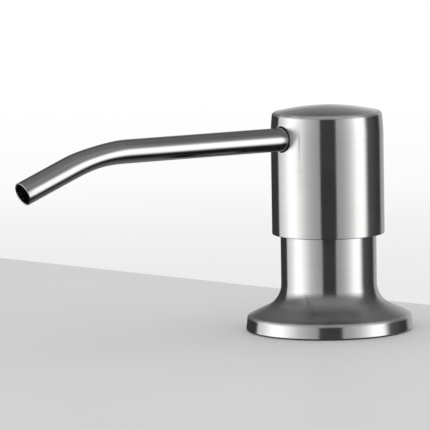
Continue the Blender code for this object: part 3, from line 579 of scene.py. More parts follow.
def turned_steel(name, base, rough, spacing, seed, edge=-1.0, matt=(-1.0, 0.001)):
    """Stainless steel turned and brushed round Z: its lines spread reflections along Z, patches of handling
    change its gloss and shade a little, the edge at the given height gets a painted highlight, a pale and
    matt ring, and a band (middle height, half width) is turned coarser."""
    material, tree, shader = new_finish(name, Metallic=1.0, Anisotropic=0.8, Anisotropic_Rotation=0.25)
    marks = effect(tree, "Turning marks", Spacing=spacing, Arc=2.5, Seed=seed)
    broad = effect(tree, "Turning marks", Spacing=spacing * 9, Arc=1.2, Seed=seed + 7)
    patches = effect(tree, "Blotches", Size=0.009, Contrast=2.2, Seed=seed)
    both = blend(tree, patches, 0.6, marks, 0.4)
    # A painted highlight: a ring at the edge's height whose colour is painted pale and whose gloss is made
    # matt.
    band_mask = effect(tree, "Worn edge", Height=edge, Width=0.0006, Seed=seed)
    coarse = effect(tree, "Worn edge", Height=matt[0], Width=matt[1], Wear=0.9, Seed=seed + 4)
    shade = tint(tree, blend(tree, broad, 0.5, marks, 0.5), base, 0.90, 1.08)
    # The pale colour painted on the edge ring is the painted highlight.
    painted_highlight_links = {"Factor": band_mask, 6: shade, 7: (0.95, 0.95, 0.95, 1)}
    pale = put(tree, "ShaderNodeMix", painted_highlight_links, data_type="RGBA").outputs[2]
    gloss = mix(tree, coarse, spread(tree, both, rough * 0.75, rough * 1.3), 0.42)
    connect(
        tree,
        shader,
        Base_Color=pale,
        Roughness=mix(tree, band_mask, gloss, 0.5),
        Normal=bump(tree, marks, 0.0000016, 1.0),
    )
    return material


def drawn_steel(name, base, rough, seed):
    """Drawn stainless tube: faint lines along it, and soft patches of handling."""
    material, tree, shader = new_finish(name, Metallic=1.0)
    marks = effect(tree, "Drawing marks", Spacing=0.0003, Length=0.04, Seed=seed)
    patches = effect(tree, "Blotches", Size=0.012, Contrast=2.0, Seed=seed)
    both = blend(tree, patches, 0.6, marks, 0.4)
    connect(
        tree,
        shader,
        Base_Color=tint(tree, marks, base, 0.93, 1.05),
        Roughness=spread(tree, both, rough * 0.75, rough * 1.35),
        Normal=bump(tree, marks, 0.0000012, 1.0),
    )
    return material


def wire_steel(name, base, seed):
    material, tree, shader = new_finish(name, Metallic=1.0)
    patches = effect(tree, "Blotches", Size=0.002, Contrast=2.0, Seed=seed)
    connect(
        tree,
        shader,
        Base_Color=tint(tree, patches, base, 0.85, 1.08),
        Roughness=spread(tree, patches, 0.2, 0.38),
        Normal=bump(tree, effect(tree, "Moulded grain", Size=0.0003, Seed=seed), 0.000004),
    )
    return material


def rubber(name, base, seed):
    """Matt rubber with a fine grain and a bloom of paler patches."""
    material, tree, shader = new_finish(name, Specular_IOR_Level=0.35)
    grain = effect(tree, "Moulded grain", Size=0.00035, Seed=seed)
    bloom = effect(tree, "Blotches", Size=0.004, Contrast=2.4, Seed=seed)
    connect(
        tree,
        shader,
        Base_Color=tint(tree, bloom, base, 0.7, 1.9),
        Roughness=spread(tree, bloom, 0.55, 0.8),
        Normal=bump(tree, grain, 0.00002),
    )
    return material


def moulded_plastic(name, base, rough, grain_depth, seed, cloud=0.07, **constants):
    """Moulded plastic: a fine grain from the tool, flow patches in shade and gloss."""
    material, tree, shader = new_finish(name, **constants)
    grain = effect(tree, "Moulded grain", Size=0.0005, Seed=seed)
    flow = effect(tree, "Blotches", Size=0.014, Contrast=1.8, Seed=seed)
    connect(
        tree,
        shader,
        Base_Color=tint(tree, flow, base, 1 - cloud, 1 + cloud),
        Roughness=spread(tree, blend(tree, grain, 0.4, flow, 0.6), rough * 0.8, rough * 1.25),
        Normal=bump(tree, grain, grain_depth),
    )
    return material


def make_finishes(look, base, head):
    """Every finish, with the painted highlight rings, pale and matt, at the head's top edge and at the base's
    shoulder.
    """
    turning_marks_group()
    drawing_marks_group()
    blotches_group()
    grain_group()
    highlight_and_coarse_ring_group()
    # Heights of the painted highlight rings: the head's top edge and the base's shoulder.
    edge_z = top("head_cap") - head.crown - 0.3 * head.edge_round
    shoulder_z = base.rim_height - 0.1 * base.rim_round
    flare_middle = (base.rim_height + base.flare_height) / 2 + 0.2 * MM
    flare = (flare_middle, (base.flare_height - base.rim_height) / 2 + 0.8 * MM)
    base_rough = look.steel_rough * 1.1
    milky = {"Subsurface_Weight": 0.35, "Subsurface_Radius": (0.004, 0.004, 0.0045), "Subsurface_Scale": 1.0}
    return {
        "head_steel": turned_steel("head_steel", look.steel, look.steel_rough, 0.00016, 3, edge_z),
        "base_steel": turned_steel("base_steel", look.steel, base_rough, 0.00018, 11, shoulder_z, flare),
        "washer_steel": turned_steel("washer_steel", look.spring, 0.3, 0.0004, 23),
        "spout_steel": drawn_steel("spout_steel", look.spout_steel, look.spout_rough, 5),
        "spring_steel": wire_steel("spring_steel", look.spring, 9),
        "ball_steel": wire_steel("ball_steel", look.steel, 13),
        "rubber": rubber("rubber", look.rubber, 2),
        "shank_plastic": moulded_plastic("shank_plastic", look.shank, 0.42, 0.000025, 4),
        "white_plastic": moulded_plastic("white_plastic", look.white, 0.38, 0.000012, 6),
        "natural_plastic": moulded_plastic("natural_plastic", look.natural, 0.32, 0.000008, 8, 0.03, **milky),
        "bottle_plastic": moulded_plastic("bottle_plastic", look.bottle, 0.3, 0.000015, 10, 0.02, **milky),
    }


FINISH = {}
BODY_OF = {node: solid["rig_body"] for node, solid in frame["nodes"].items()}


# Base


def base_corners(size):
    """The base's outline in millimetres, from the rim's foot up the outside and down the bore."""
    rim, low, high = radius("base_flange") / MM, bottom("base_flange") / MM, top("base_flange") / MM
    neck, bore, recess = size.neck_radius / MM, size.neck_bore / MM, size.recess / MM
    lip = rim - size.rim_lip / MM
    return [
        (rim, low, 0.22),
        (rim - size.rim_taper / MM, size.rim_height / MM, size.rim_round / MM),
        (neck, size.flare_height / MM, size.flare_round / MM),
        (neck, high, 0.4),
        (bore, high, 0.4),
        (bore, recess, 0.3),
        (lip, recess, 0.2),
        (lip, low, 0.12),
    ]


class DISPENSER_OT_base(bpy.types.Operator):
    """Build the turned base and its gasket"""

    bl_idname = "dispenser.base"
    bl_label = "Base"

    def execute(self, context):
        size = context.scene.dispenser.base
        sheet = turned(outline(base_corners(size), 14), circle(256))
        add_piece("base_flange", [sheet], FINISH["base_steel"])
        bore = context.scene.dispenser.clamp.washer_bore
        low, high = bottom("base_gasket"), top("base_gasket")
        add_piece("base_gasket", ring_sheets(bore, radius("base_gasket"), low, high, 0.35), FINISH["rubber"])
        return {"FINISHED"}


# Shank and clamp


class DISPENSER_OT_shank(bpy.types.Operator):
    """Build the threaded shank"""

    bl_idname = "dispenser.shank"
    bl_label = "Threaded shank"

    def execute(self, context):
        size = context.scene.dispenser.clamp
        low, high = bottom("threaded_shank"), top("threaded_shank")
        start, end = low + size.thread_depth, -size.thread_depth
        angles = circle(128)
        root = size.shank_root
        helix = thread(start, end, root, root + size.thread_depth, root, size.thread_pitch, angles, 2.2 * MM)
        r, b = root / MM, size.shank_bore / MM
        corners = [
            (r, end / MM),
            (r, high / MM, 0.4),
            (b, high / MM, 0.4),
            (b, low / MM, 0.35),
            (r, low / MM, 0.5),
            (r, start / MM),
        ]
        rest = turned(outline(corners, 6, closed=False), angles)
        add_piece("threaded_shank", [helix, rest], FINISH["shank_plastic"])
        return {"FINISHED"}


def winged(size, low, high):
    """The nut's radius at an angle and height: its turned body, or a wing where that reaches further out.
    A wing's side is half / sin(angle from its middle), its end is rounded by a power mean, and its reach
    falls to nothing at its lower and upper edge by a power curve of the height."""
    count, half = size.wings, size.wing_half
    offset = 0.25 * TAU / 24

    def ripple(around, distance, height):
        turn = (around - offset + math.pi / count) % (TAU / count) - math.pi / count
        level = np.clip(np.abs((height - (low + high) / 2) / ((high - low) / 2)), 0, 1)
        reach = size.nut_radius + (size.wing_reach - size.nut_radius) * (1 - level**7) ** (1 / 7) - 0.4 * MM
        side = half / np.maximum(np.sin(np.abs(turn)), 1e-4)
        wing = (reach**-14.0 + side**-14.0) ** (-1 / 14)
        outside = distance > size.nut_radius - 0.6 * MM
        inside_levels = (height > low) & (height < high)
        joined = (distance**24 + wing**24) ** (1 / 24)
        return np.where(outside & inside_levels, joined, distance)

    return ripple


def wing_angles(size):
    """Angles round the nut, close together along the sides of each wing."""
    sector = TAU / size.wings
    near = [0, 0.8, 1.6, 2.4, 2.9, 3.2, 3.45, 3.7, 3.95, 4.2, 4.5, 4.8, 5.1, 5.5, 6.0, 6.7, 7.6]
    edge = np.radians([*near, 9, 11, 13.5, 16.5])
    rest = np.linspace(math.radians(20), sector / 2, 10)
    half = np.concatenate((edge, rest))
    one = np.concatenate((-half[:0:-1], half[:-1]))
    all_of = (one[None] + sector * np.arange(size.wings)[:, None]).ravel() + 0.25 * TAU / 24
    return np.append(all_of, all_of[0] + TAU)


class DISPENSER_OT_clamp(bpy.types.Operator):
    """Build the washers and the winged nut under the deck"""

    bl_idname = "dispenser.clamp"
    bl_label = "Clamp"

    def execute(self, context):
        size = context.scene.dispenser.clamp
        washers = (("deck_washer", "rubber", 0.45), ("thrust_washer", "washer_steel", 0.3))
        for node, finish, rounding in washers:
            sheets = ring_sheets(size.washer_bore, radius(node), bottom(node), top(node), rounding)
            add_piece(node, sheets, FINISH[finish])
        low, high = bottom("mounting_nut"), top("mounting_nut")
        angles = wing_angles(size)
        ridge = size.shank_root + size.thread_gap
        groove = ridge + size.thread_depth
        start, end = low + size.thread_depth / 2, high - size.thread_depth / 2
        helix = thread(start, end, ridge, groove, groove, size.thread_pitch, angles, 1.2 * MM)
        g, body, flange = groove / MM, size.nut_radius / MM, size.nut_flange / MM
        l, h = low / MM, high / MM
        corners = [
            (g, end / MM),
            (g, h, 0.3),
            (flange, h, 0.4),
            (flange, h - 2.5, 0.4),
            (body, h - 2.5, 0.5),
            (body, l, 0.6),
            (g, l, 0.3),
            (g, start / MM),
        ]
        points = outline(corners, 6, closed=False)
        steps = np.linspace(h - 3.2, l + 0.7, 26) * MM
        wall = np.stack((np.full(26, size.nut_radius), steps), axis=-1)
        split = int(np.argmin(np.abs(points[:, 1] - steps[0]) + np.abs(points[:, 0] - size.nut_radius)))
        points = np.concatenate((points[: split + 1], wall[1:-1], points[split + 1 :]))
        ripple = winged(size, low + 0.6 * MM, high - 1.25 * MM)
        add_piece("mounting_nut", [helix, turned(points, angles, ripple)], FINISH["shank_plastic"])
        return {"FINISHED"}


# Bottle


class DISPENSER_OT_bottle(bpy.types.Operator):
    """Build the bottle, with its inner thread, grip ribs and parting line, and its gasket"""

    bl_idname = "dispenser.bottle"
    bl_label = "Bottle"

    def execute(self, context):
        clamp, size = context.scene.dispenser.clamp, context.scene.dispenser.bottle
        low, high = bottom("bottle") / MM, top("bottle") / MM
        ledge = (bottom("bottle_gasket") / MM) - 0.3
        shank = bottom("threaded_shank")
        body, wall, neck_wall = radius("bottle") / MM, size.wall / MM, size.neck_wall / MM
        shoulder, foot, rise = size.shoulder / MM, size.foot_round / MM, size.push_up / MM
        groove = clamp.shank_root + clamp.thread_gap + clamp.thread_depth
        ridge = clamp.shank_root + clamp.thread_gap
        g, passage = groove / MM, clamp.shank_bore / MM + 0.3
        neck = g + neck_wall
        shoulder_z = ledge - 2.0
        body_z = shoulder_z - shoulder
        end = high * MM - clamp.thread_depth / 2
        angles = circle(144)
        outside = [
            (g, end / MM),
            (g, high, 0.3),
            (neck, high, 0.7),
            (neck, shoulder_z + wall, neck_wall),
            (body, body_z + wall, shoulder),
            (body, low, foot),
            (body - 2 * foot, low, 3.0),
            (0, low + rise),
        ]
        inside = [
            (0, low + wall + rise),
            (body - wall - 2 * foot, low + wall, 3.0),
            (body - wall, low + wall, foot - wall),
            (body - wall, body_z, shoulder - wall),
            (passage, shoulder_z, 0.4),
            (passage, ledge, 0.3),
            (g, ledge, 0.3),
            (g, shank / MM),
        ]

        def ribbed(around, distance, height):
            """Grip ribs on the neck's wall as a power of a sine, and a hair-thin parting line on two
            sides."""
            level = smooth_step((height / MM - shoulder_z - 6) / 1.5)
            level = level * smooth_step((high - 2.2 - height / MM) / 1.5)
            wave = np.abs(np.sin(around * size.ribs / 2)) ** 3
            on_neck = np.abs(distance - neck * MM) < 0.5 * MM
            ribs = np.where(on_neck, size.rib_depth * level * (1 - wave), 0)
            line = np.exp(-((np.sin(around) * distance / (0.35 * MM)) ** 2))
            on_body = (np.abs(distance - body * MM) < 0.05 * MM) & (height / MM < body_z)
            return distance - ribs - np.where(on_body, 0.12 * MM * (1 - line), 0)

        helix = thread(shank, end, ridge, groove, groove, clamp.thread_pitch, angles, 2.0 * MM)
        outer_points = outline(outside, 16, closed=False)
        inner_wall = turned(outline(inside, 12, closed=False), angles)
        walls = [helix, turned(outer_points, angles, ribbed), inner_wall]
        add_piece("bottle", walls, FINISH["bottle_plastic"])
        low, high = bottom("bottle_gasket"), top("bottle_gasket")
        sheets = ring_sheets(clamp.shank_bore, radius("bottle_gasket"), low, high, 0.4)
        add_piece("bottle_gasket", sheets, FINISH["rubber"])
        return {"FINISHED"}


# Pump


def ring_about(node, inner, rounding, finish):
    sheets = ring_sheets(inner, radius(node), bottom(node), top(node), rounding)
    add_piece(node, sheets, FINISH[finish])


def collar_corners(size, base):
    """The collar's outline in millimetres: flange, bore, shoulder and the groove of its O-ring."""
    low, high = bottom("pump_collar") / MM, top("pump_collar") / MM
    fit = size.fit / MM
    neck = base.neck_radius / MM
    outer = base.neck_bore / MM - fit
    well = outer - 1.9
    bore = size.barrel_radius / MM + fit
    shoulder = low + 5.2
    seal = (bottom("collar_o_ring") + top("collar_o_ring")) / 2 / MM
    groove = outer - 1.5
    return [
        (bore, low, 0.3),
        (outer, low, 0.6),
        (outer, seal - 0.9, 0.15),
        (groove, seal - 0.9, 0.15),
        (groove, seal + 0.9, 0.15),
        (outer, seal + 0.9, 0.15),
        (outer, high - 1.7, 0.15),
        (neck, high - 1.7, 0.3),
        (neck, high, 0.5),
        (well, high, 0.5),
        (well, shoulder, 0.3),
        (bore, shoulder, 0.2),
    ]


def housing_corners(size):
    """The pump housing's outline in millimetres: bore, ball chamber, seat, dip tube's socket and flange."""
    high, low = top("pump_housing") / MM, bottom("pump_housing") / MM
    fit, bore, outer = size.fit / MM, size.barrel_bore / MM, size.barrel_radius / MM
    floor = bottom("spring_seat") / MM - fit
    socket = top("dip_tube") / MM + fit
    chamber, throat = 3.2, 1.488
    tube = radius("dip_tube") / MM + fit
    wall = tube + 1.4
    cap = radius("pump_housing") / MM
    waist = floor - 1.4
    return [
        (bore, high, 0.3),
        (bore, floor, 0.4),
        (chamber, floor, 0.2),
        (chamber, floor - 4.0, 0.2),
        (throat, socket + 1.5, 0.1),
        (throat, socket, 0.1),
        (tube, socket, 0.2),
        (tube, low, 0.3),
        (wall, low, 0.4),
        (wall, waist - (outer - wall), 0.8),
        (outer, waist, 1.2),
        (outer, high - 2.0, 0.4),
        (cap, high - 2.0, 0.3),
        (cap, high, 0.3),
    ]


def piston_corners(size):
    """The piston's outline in millimetres: socket, ball chamber, seat and two flared lips."""
    high, low, out = top("piston") / MM, bottom("piston") / MM, radius("piston") / MM
    foot = bottom("stem") / MM
    hole = size.stem_radius / MM + size.fit / MM
    chamber, throat = 2.5, 1.054
    ball_z = (bottom("outlet_ball") + top("outlet_ball")) / 2 / MM
    apex = ball_z - (1.7 + 0.3) * math.sqrt(2)
    return [
        (hole, high, 0.2),
        (hole, foot - 0.3, 0.1),
        (chamber, foot - 0.3, 0.1),
        (chamber, apex + chamber, 0.1),
        (throat, apex + throat, 0.1),
        (throat, low, 0.2),
        (out, low, 0.15),
        (out, low + 1.4, 0.5),
        (out - 0.7, low + 2.1, 0.5),
        (out - 0.7, high - 2.1, 0.5),
        (out, high - 1.4, 0.5),
        (out, high, 0.15),
    ]


def guide_corners(size):
    high, low, cap = top("stem_guide") / MM, bottom("stem_guide") / MM, radius("stem_guide") / MM
    hole = size.stem_radius / MM + size.fit / MM
    plug = size.barrel_bore / MM - size.fit / MM
    shoulder = top("pump_housing") / MM + size.fit / MM
    return [
        (hole, high, 0.4),
        (hole, low, 0.2),
        (plug, low, 0.4),
        (plug, shoulder, 0.1),
        (cap, shoulder, 0.2),
        (cap, high, 0.5),
    ]


class DISPENSER_OT_pump(bpy.types.Operator):
    """Build the collar, housing, guide, valve pieces, dip tube and O-ring of the pump"""

    bl_idname = "dispenser.pump"
    bl_label = "Pump"

    def execute(self, context):
        size, base = context.scene.dispenser.pump, context.scene.dispenser.base
        profiles = (
            ("pump_collar", collar_corners(size, base), "white_plastic"),
            ("pump_housing", housing_corners(size), "natural_plastic"),
            ("stem_guide", guide_corners(size), "white_plastic"),
            ("piston", piston_corners(size), "natural_plastic"),
        )
        for node, corners, finish in profiles:
            add_piece(node, [turned(outline(corners, 6), circle(144))], FINISH[finish])
        ring_about("housing_gasket", size.barrel_radius + size.fit, 0.3, "rubber")
        ring_about("spring_seat", 1.68 * MM, 0.25, "white_plastic")
        seal = (bottom("collar_o_ring") + top("collar_o_ring")) / 2
        section = (top("collar_o_ring") - bottom("collar_o_ring")) / 2
        place = Matrix.Translation((0, 0, seal))
        ring = torus(radius("collar_o_ring") - section, section, place)
        add_piece("collar_o_ring", [ring], FINISH["rubber"])
        for node in ("inlet_ball", "outlet_ball"):
            centre = (bottom(node) + top(node)) / 2
            add_piece(node, [ball(centre, (top(node) - bottom(node)) / 2)], FINISH["ball_steel"])
        self.add_dip_tube(size)
        self.add_stem(size)
        return {"FINISHED"}

    def add_dip_tube(self, size):
        """A plain tube whose foot is cut at a slant: its lowest rows rise by 1 + cos(angle)."""
        inner, outer = size.dip_bore / MM, radius("dip_tube") / MM
        low, high = bottom("dip_tube") / MM, top("dip_tube") / MM
        corners = [(inner, low, 0.15), (outer, low, 0.15), (outer, high, 0.2), (inner, high, 0.2)]
        sheet = turned(outline(corners, 4), circle(96))
        slant = (1 + sheet[..., 0] / (outer * MM)) * outer * MM
        near_foot = np.clip(1 - (sheet[..., 2] - low * MM) / (1.0 * MM), 0, 1) > 0
        sheet[..., 2] += np.where(near_foot, slant, 0)
        add_piece("dip_tube", [sheet], FINISH["natural_plastic"])

    def add_stem(self, size):
        """A tube whose foot is slotted on two sides: its lowest rows step up by the slot's depth there."""
        inner, outer = size.stem_bore / MM, size.stem_radius / MM
        low, high = bottom("stem") / MM, top("stem") / MM
        corners = [(inner, low, 0.12), (outer, low, 0.12), (outer, high, 0.2), (inner, high, 0.2)]
        sheet = turned(outline(corners, 4), circle(288))
        side = np.abs(sheet[..., 1] * math.cos(math.radians(4)) - sheet[..., 0] * math.sin(math.radians(4)))
        slot = smooth_step((size.stem_bore / 2 - side) / (0.06 * MM) + 0.5)
        near_foot = sheet[..., 2] < (low + 0.5) * MM
        sheet[..., 2] += np.where(near_foot, slot * size.stem_bore, 0)
        add_piece("stem", [sheet], FINISH["natural_plastic"], smooth=50)


class DISPENSER_OT_spring(bpy.types.Operator):
    """Build the return spring"""

    bl_idname = "dispenser.spring"
    bl_label = "Return spring"

    def execute(self, context):
        """A round wire swept along a helix whose rise is slow in the first and last turn. The section lies
        across the helix: outwards, and at right angles to outwards and the wire."""
        size = context.scene.dispenser.pump
        wire = size.wire / 2
        coil = size.barrel_bore - size.fit - size.wire
        low, high = bottom("return_spring") + wire, top("return_spring") - wire
        turn = np.linspace(0, size.turns, size.turns * 72 + 1)
        closed = size.wire + 0.15 * MM
        open_turns = size.turns - 2
        opened = np.clip(turn - 1, 0, open_turns)
        rise = (turn - opened) * closed + opened * (high - low - 2 * closed) / open_turns
        around = TAU * turn
        centre = spun(coil, around, low + rise)
        along = np.gradient(centre, axis=0)
        along /= np.linalg.norm(along, axis=1, keepdims=True)
        outwards = np.stack((np.cos(around), np.sin(around), np.zeros_like(around)), axis=-1)
        across = np.cross(along, outwards)
        side = circle(16)[None, :, None]
        tube = centre[:, None] + wire * (np.cos(side) * outwards[:, None] + np.sin(side) * across[:, None])
        caps = []
        for end, sign in ((0, -1), (-1, 1)):
            polar = np.linspace(math.pi / 2, 0, 5)[:, None, None]
            section = np.cos(side) * outwards[end] + np.sin(side) * across[end]
            bulge = sign * 0.5 * np.cos(polar) * along[end]
            caps.append(centre[end] + wire * (np.sin(polar) * section + bulge))
        spring = add_piece("return_spring", [tube, *caps], FINISH["spring_steel"])
        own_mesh(spring)
        return {"FINISHED"}


# Press head


def cap_radius(height, size, edge_z):
    """Outer radius of the cap's wall: straight, then drawn in by a power of 1.5 under the top edge."""
    start = edge_z - size.draft_length
    along = np.clip((height - start) / size.draft_length, 0, 1)
    return radius("head_cap") - size.draft * along**1.5


def cap_inner_radius(height, size, edge_z):
    return cap_radius(height, size, edge_z) - size.wall


HEAD_SEGMENTS = 240
# The window is the patch of the cap's wall round the spout's hole.
WINDOW_SEGMENTS = 24
WINDOW_BELOW, WINDOW_ABOVE = 5.6 * MM, 5.4 * MM
CEILING_ROUND = 1.0 * MM


class DISPENSER_OT_head(bpy.types.Operator):
    """Build the drawn cap of the press head, with the hole that the spout passes through"""

    bl_idname = "dispenser.head"
    bl_label = "Head cap"

    def execute(self, context):
        size, spout = context.scene.dispenser.head, context.scene.dispenser.spout
        low, apex = bottom("head_cap"), top("head_cap")
        edge_z = apex - size.crown
        angles = circle(HEAD_SEGMENTS)
        first, last = (HEAD_SEGMENTS - WINDOW_SEGMENTS) // 2, (HEAD_SEGMENTS + WINDOW_SEGMENTS) // 2
        hole_z = spout.height + math.tan(spout.rise) * radius("head_cap")
        window_low, window_high = hole_z - WINDOW_BELOW, hole_z + WINDOW_ABOVE
        window_rows = np.linspace(window_low, window_high, 23)

        def wall_sheets(wall_radius, below, above):
            """Grids of one skin of the wall, below, beside and above the window."""

            def skin(heights, around):
                grid_z, grid_a = np.meshgrid(heights, around, indexing="ij")
                return spun(wall_radius(grid_z), grid_a, grid_z)

            return [
                skin(np.append(below, window_low), angles),
                skin(window_rows, angles[: first + 1]),
                skin(window_rows, angles[last:]),
                skin(np.insert(above, 0, window_high), angles),
            ]

        def outer(height):
            return cap_radius(height, size, edge_z)

        def inner(height):
            return cap_inner_radius(height, size, edge_z)

        round_z = edge_z - size.edge_round
        ceiling = edge_z - size.wall
        lip = 0.22 * MM
        straight = np.linspace(low + lip, window_low, 12)[:-1]
        above = np.linspace(window_high, round_z, 5)[1:]
        inner_above = np.linspace(window_high, ceiling - CEILING_ROUND, 4)[1:]
        sheets = wall_sheets(outer, straight, above) + wall_sheets(inner, straight, inner_above)

        # Top: a quarter round from the wall to the crown, then a shallow dome to the pole.
        start = float(outer(np.array(round_z)))
        quarter = np.linspace(0, math.pi / 2, 13)
        arc_r = start - size.edge_round * (1 - np.cos(quarter))
        arc_z = round_z + size.edge_round * np.sin(quarter)
        dome_r = np.linspace(arc_r[-1], 0, 15)[1:]
        dome_z = arc_z[-1] + (apex - arc_z[-1]) * (1 - (dome_r / arc_r[-1]) ** 2)
        top_line = np.stack((np.concatenate((arc_r, dome_r)), np.concatenate((arc_z, dome_z))), axis=-1)
        inside_start = float(inner(np.array(ceiling - CEILING_ROUND)))
        inner_arc_r = inside_start - CEILING_ROUND * (1 - np.cos(quarter))
        inner_arc_z = ceiling - CEILING_ROUND + CEILING_ROUND * np.sin(quarter)
        vault_r = np.linspace(inner_arc_r[-1], 0, 15)[1:]
        vault_z = ceiling + size.crown * (1 - (vault_r / inner_arc_r[-1]) ** 2)
        under_r, under_z = np.concatenate((inner_arc_r, vault_r)), np.concatenate((inner_arc_z, vault_z))
        under = np.stack((under_r, under_z), axis=-1)
        # Skirt's edge: two small rounds joined by a flat.
        out_r, in_r = radius("head_cap"), radius("head_cap") - size.wall
        inset, drop = lip * (1 - np.cos(quarter)), low + lip - lip * np.sin(quarter)
        edge_r = np.concatenate((out_r - inset, in_r + inset[::-1]))
        edge = np.stack((edge_r, np.concatenate((drop, drop[::-1]))), axis=-1)
        sheets += [turned(line, angles) for line in (top_line, under, edge)]
        sheets.append(self.hole_sheet(size, spout, angles[first : last + 1], window_rows, hole_z, outer))
        add_piece("head_cap", sheets, FINISH["head_steel"])
        return {"FINISHED"}

    def hole_sheet(self, size, spout, window_angles, window_rows, hole_z, outer):
        """Rings from the window's border to the hole's circle on the outer skin, over the rolled edge,
        through the wall and back to the border on the inner skin. A ring's point is a blend of the
        border's point and of the circle's point in the same direction, as (angle, height), put on the
        skin's radius."""
        left = np.full(len(window_rows), window_angles[0])
        right = np.full(len(window_rows), window_angles[-1])
        low = np.full(len(window_angles), window_rows[0])
        high = np.full(len(window_angles), window_rows[-1])
        border_a = np.concatenate((window_angles[:-1], right[:-1], window_angles[:0:-1], left[:0:-1]))
        border_z = np.concatenate((low[:-1], window_rows[:-1], high[:0:-1], window_rows[:0:-1]))
        border_a, border_z = np.append(border_a, border_a[0]), np.append(border_z, border_z[0])
        out_r = radius("head_cap")
        direction = np.arctan2((border_a - math.pi) * out_r, border_z - hole_z)
        hole = spout.tube_radius + size.hole_gap
        roll = size.hole_roll
        quarter = np.linspace(0, math.pi / 2, 6)[1:]
        share_in = np.linspace(0, 1, 9)
        hole_sizes = np.concatenate(
            (np.full(9, hole + roll), hole + roll * (1 - np.sin(quarter)), [hole], np.full(9, hole))
        )
        rolled = roll * (1 - np.cos(quarter))
        depth = np.concatenate((np.zeros(9), rolled, [size.wall * 0.6], np.full(9, size.wall)))
        toward = np.concatenate((share_in, np.ones(6), share_in[::-1]))[:, None]
        circle_a = math.pi + np.arcsin(hole_sizes[:, None] * np.sin(direction) / (out_r - depth[:, None]))
        circle_z = hole_z + hole_sizes[:, None] * np.cos(direction)
        place_a = border_a + (circle_a - border_a) * toward
        place_z = border_z + (circle_z - border_z) * toward
        return spun(outer(place_z) - depth[:, None], place_a, place_z)


def spout_line(size, along):
    """Point and heading of the spout's centre line at a length from the turning axis: straight at the rise,
    an arc of the bend's radius, and straight at the drop. A heading h points to (-cos h, 0, sin h)."""
    turn = size.rise + size.drop
    first = np.minimum(along, size.straight)
    bent = np.clip(along - size.straight, 0, size.bend * turn)
    rest = np.maximum(along - size.straight - size.bend * turn, 0)
    heading = size.rise - bent / size.bend
    x = -first * math.cos(size.rise) - size.bend * (math.sin(size.rise) - np.sin(heading))
    z = first * math.sin(size.rise) + size.bend * (np.cos(heading) - math.cos(size.rise))
    x = x - rest * math.cos(size.drop)
    z = z - rest * math.sin(size.drop) + size.height
    return np.stack((x, np.zeros_like(x), z), axis=-1), heading


class DISPENSER_OT_spout(bpy.types.Operator):
    """Build the bent spout tube and the O-ring at its root"""

    bl_idname = "dispenser.spout"
    bl_label = "Spout"

    def execute(self, context):
        """A loop of (length, radius) pairs, out along the outer skin and back along the inner one, each pair
        a ring round the spout's line there; the loop's four turns at the rims are quarter rounds. Bending
        has flattened the tube a little, by a squared sine over the bend."""
        size = context.scene.dispenser.spout
        turn = size.rise + size.drop
        end = size.straight + size.bend * turn + size.tip
        out, bore = size.tube_radius, size.tube_radius - size.tube_wall
        rim = size.tube_wall * 0.42
        quarter = np.linspace(0, math.pi / 2, 6)
        sin, cos = rim * np.sin(quarter), rim * np.cos(quarter)
        run = np.concatenate(
            (
                np.linspace(size.root + rim, size.straight, 12)[1:-1],
                np.linspace(size.straight, size.straight + size.bend * turn, 41),
                np.linspace(size.straight + size.bend * turn, end - rim, 8)[1:-1],
            )
        )
        mouth, root = end - rim, size.root + rim
        along = np.concatenate((run, mouth + sin, mouth + cos, run[::-1], root - sin, root - cos))
        skin, inside = np.full(len(run), out), np.full(len(run), bore)
        distance = np.concatenate(
            (skin, out - rim + cos, bore + rim - sin, inside, bore + rim - cos, out - rim + sin)
        )
        along, distance = np.append(along, along[0]), np.append(distance, distance[0])
        centre, heading = spout_line(size, along)
        across = np.stack((np.sin(heading), np.zeros_like(heading), np.cos(heading)), axis=-1)
        side = circle(96)[None, :, None]
        bent = np.clip((along - size.straight) / (size.bend * turn), 0, 1)
        squeeze = 1 - size.squeeze * np.sin(math.pi * bent) ** 2
        ring = np.cos(side) * squeeze[:, None, None] * across[:, None] + np.sin(side) * np.array((0, 1, 0))
        add_piece("spout_tube", [centre[:, None] + distance[:, None, None] * ring], FINISH["spout_steel"])
        low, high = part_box("spout_o_ring")
        section = 0.45 * MM
        major = (high[1] - low[1]) / 2 - section
        seat = size.root + 4 * section
        point, _ = spout_line(size, np.array([seat]))
        direction = Vector((-math.cos(size.rise), 0, math.sin(size.rise)))
        lean = Vector((0, 0, 1)).rotation_difference(direction).to_matrix().to_4x4()
        place = Matrix.Translation(point[0]) @ lean
        add_piece("spout_o_ring", [torus(major, section, place, 96, 20)], FINISH["rubber"])
        return {"FINISHED"}


class DISPENSER_OT_core(bpy.types.Operator):
    """Give the head's moulded core its finish"""

    bl_idname = "dispenser.core"
    bl_label = "Actuator core"

    def execute(self, context):
        core = frame["nodes"]["actuator_core"]
        core.data.materials.clear()
        core.data.materials.append(FINISH["white_plastic"])
        return {"FINISHED"}


# Stage


def stage_axes(size):
    """Unit vectors from the object back to the camera, to the camera's right, and up, before its roll."""
    azimuth, elevation = size.azimuth, size.elevation
    level = math.cos(elevation)
    back = Vector((math.sin(azimuth) * level, -math.cos(azimuth) * level, math.sin(elevation)))
    right = Vector((math.cos(azimuth), math.sin(azimuth), 0))
    return back, right, back.cross(right)


AIM = Vector((-27.95, 18.92, 34.75)) * MM
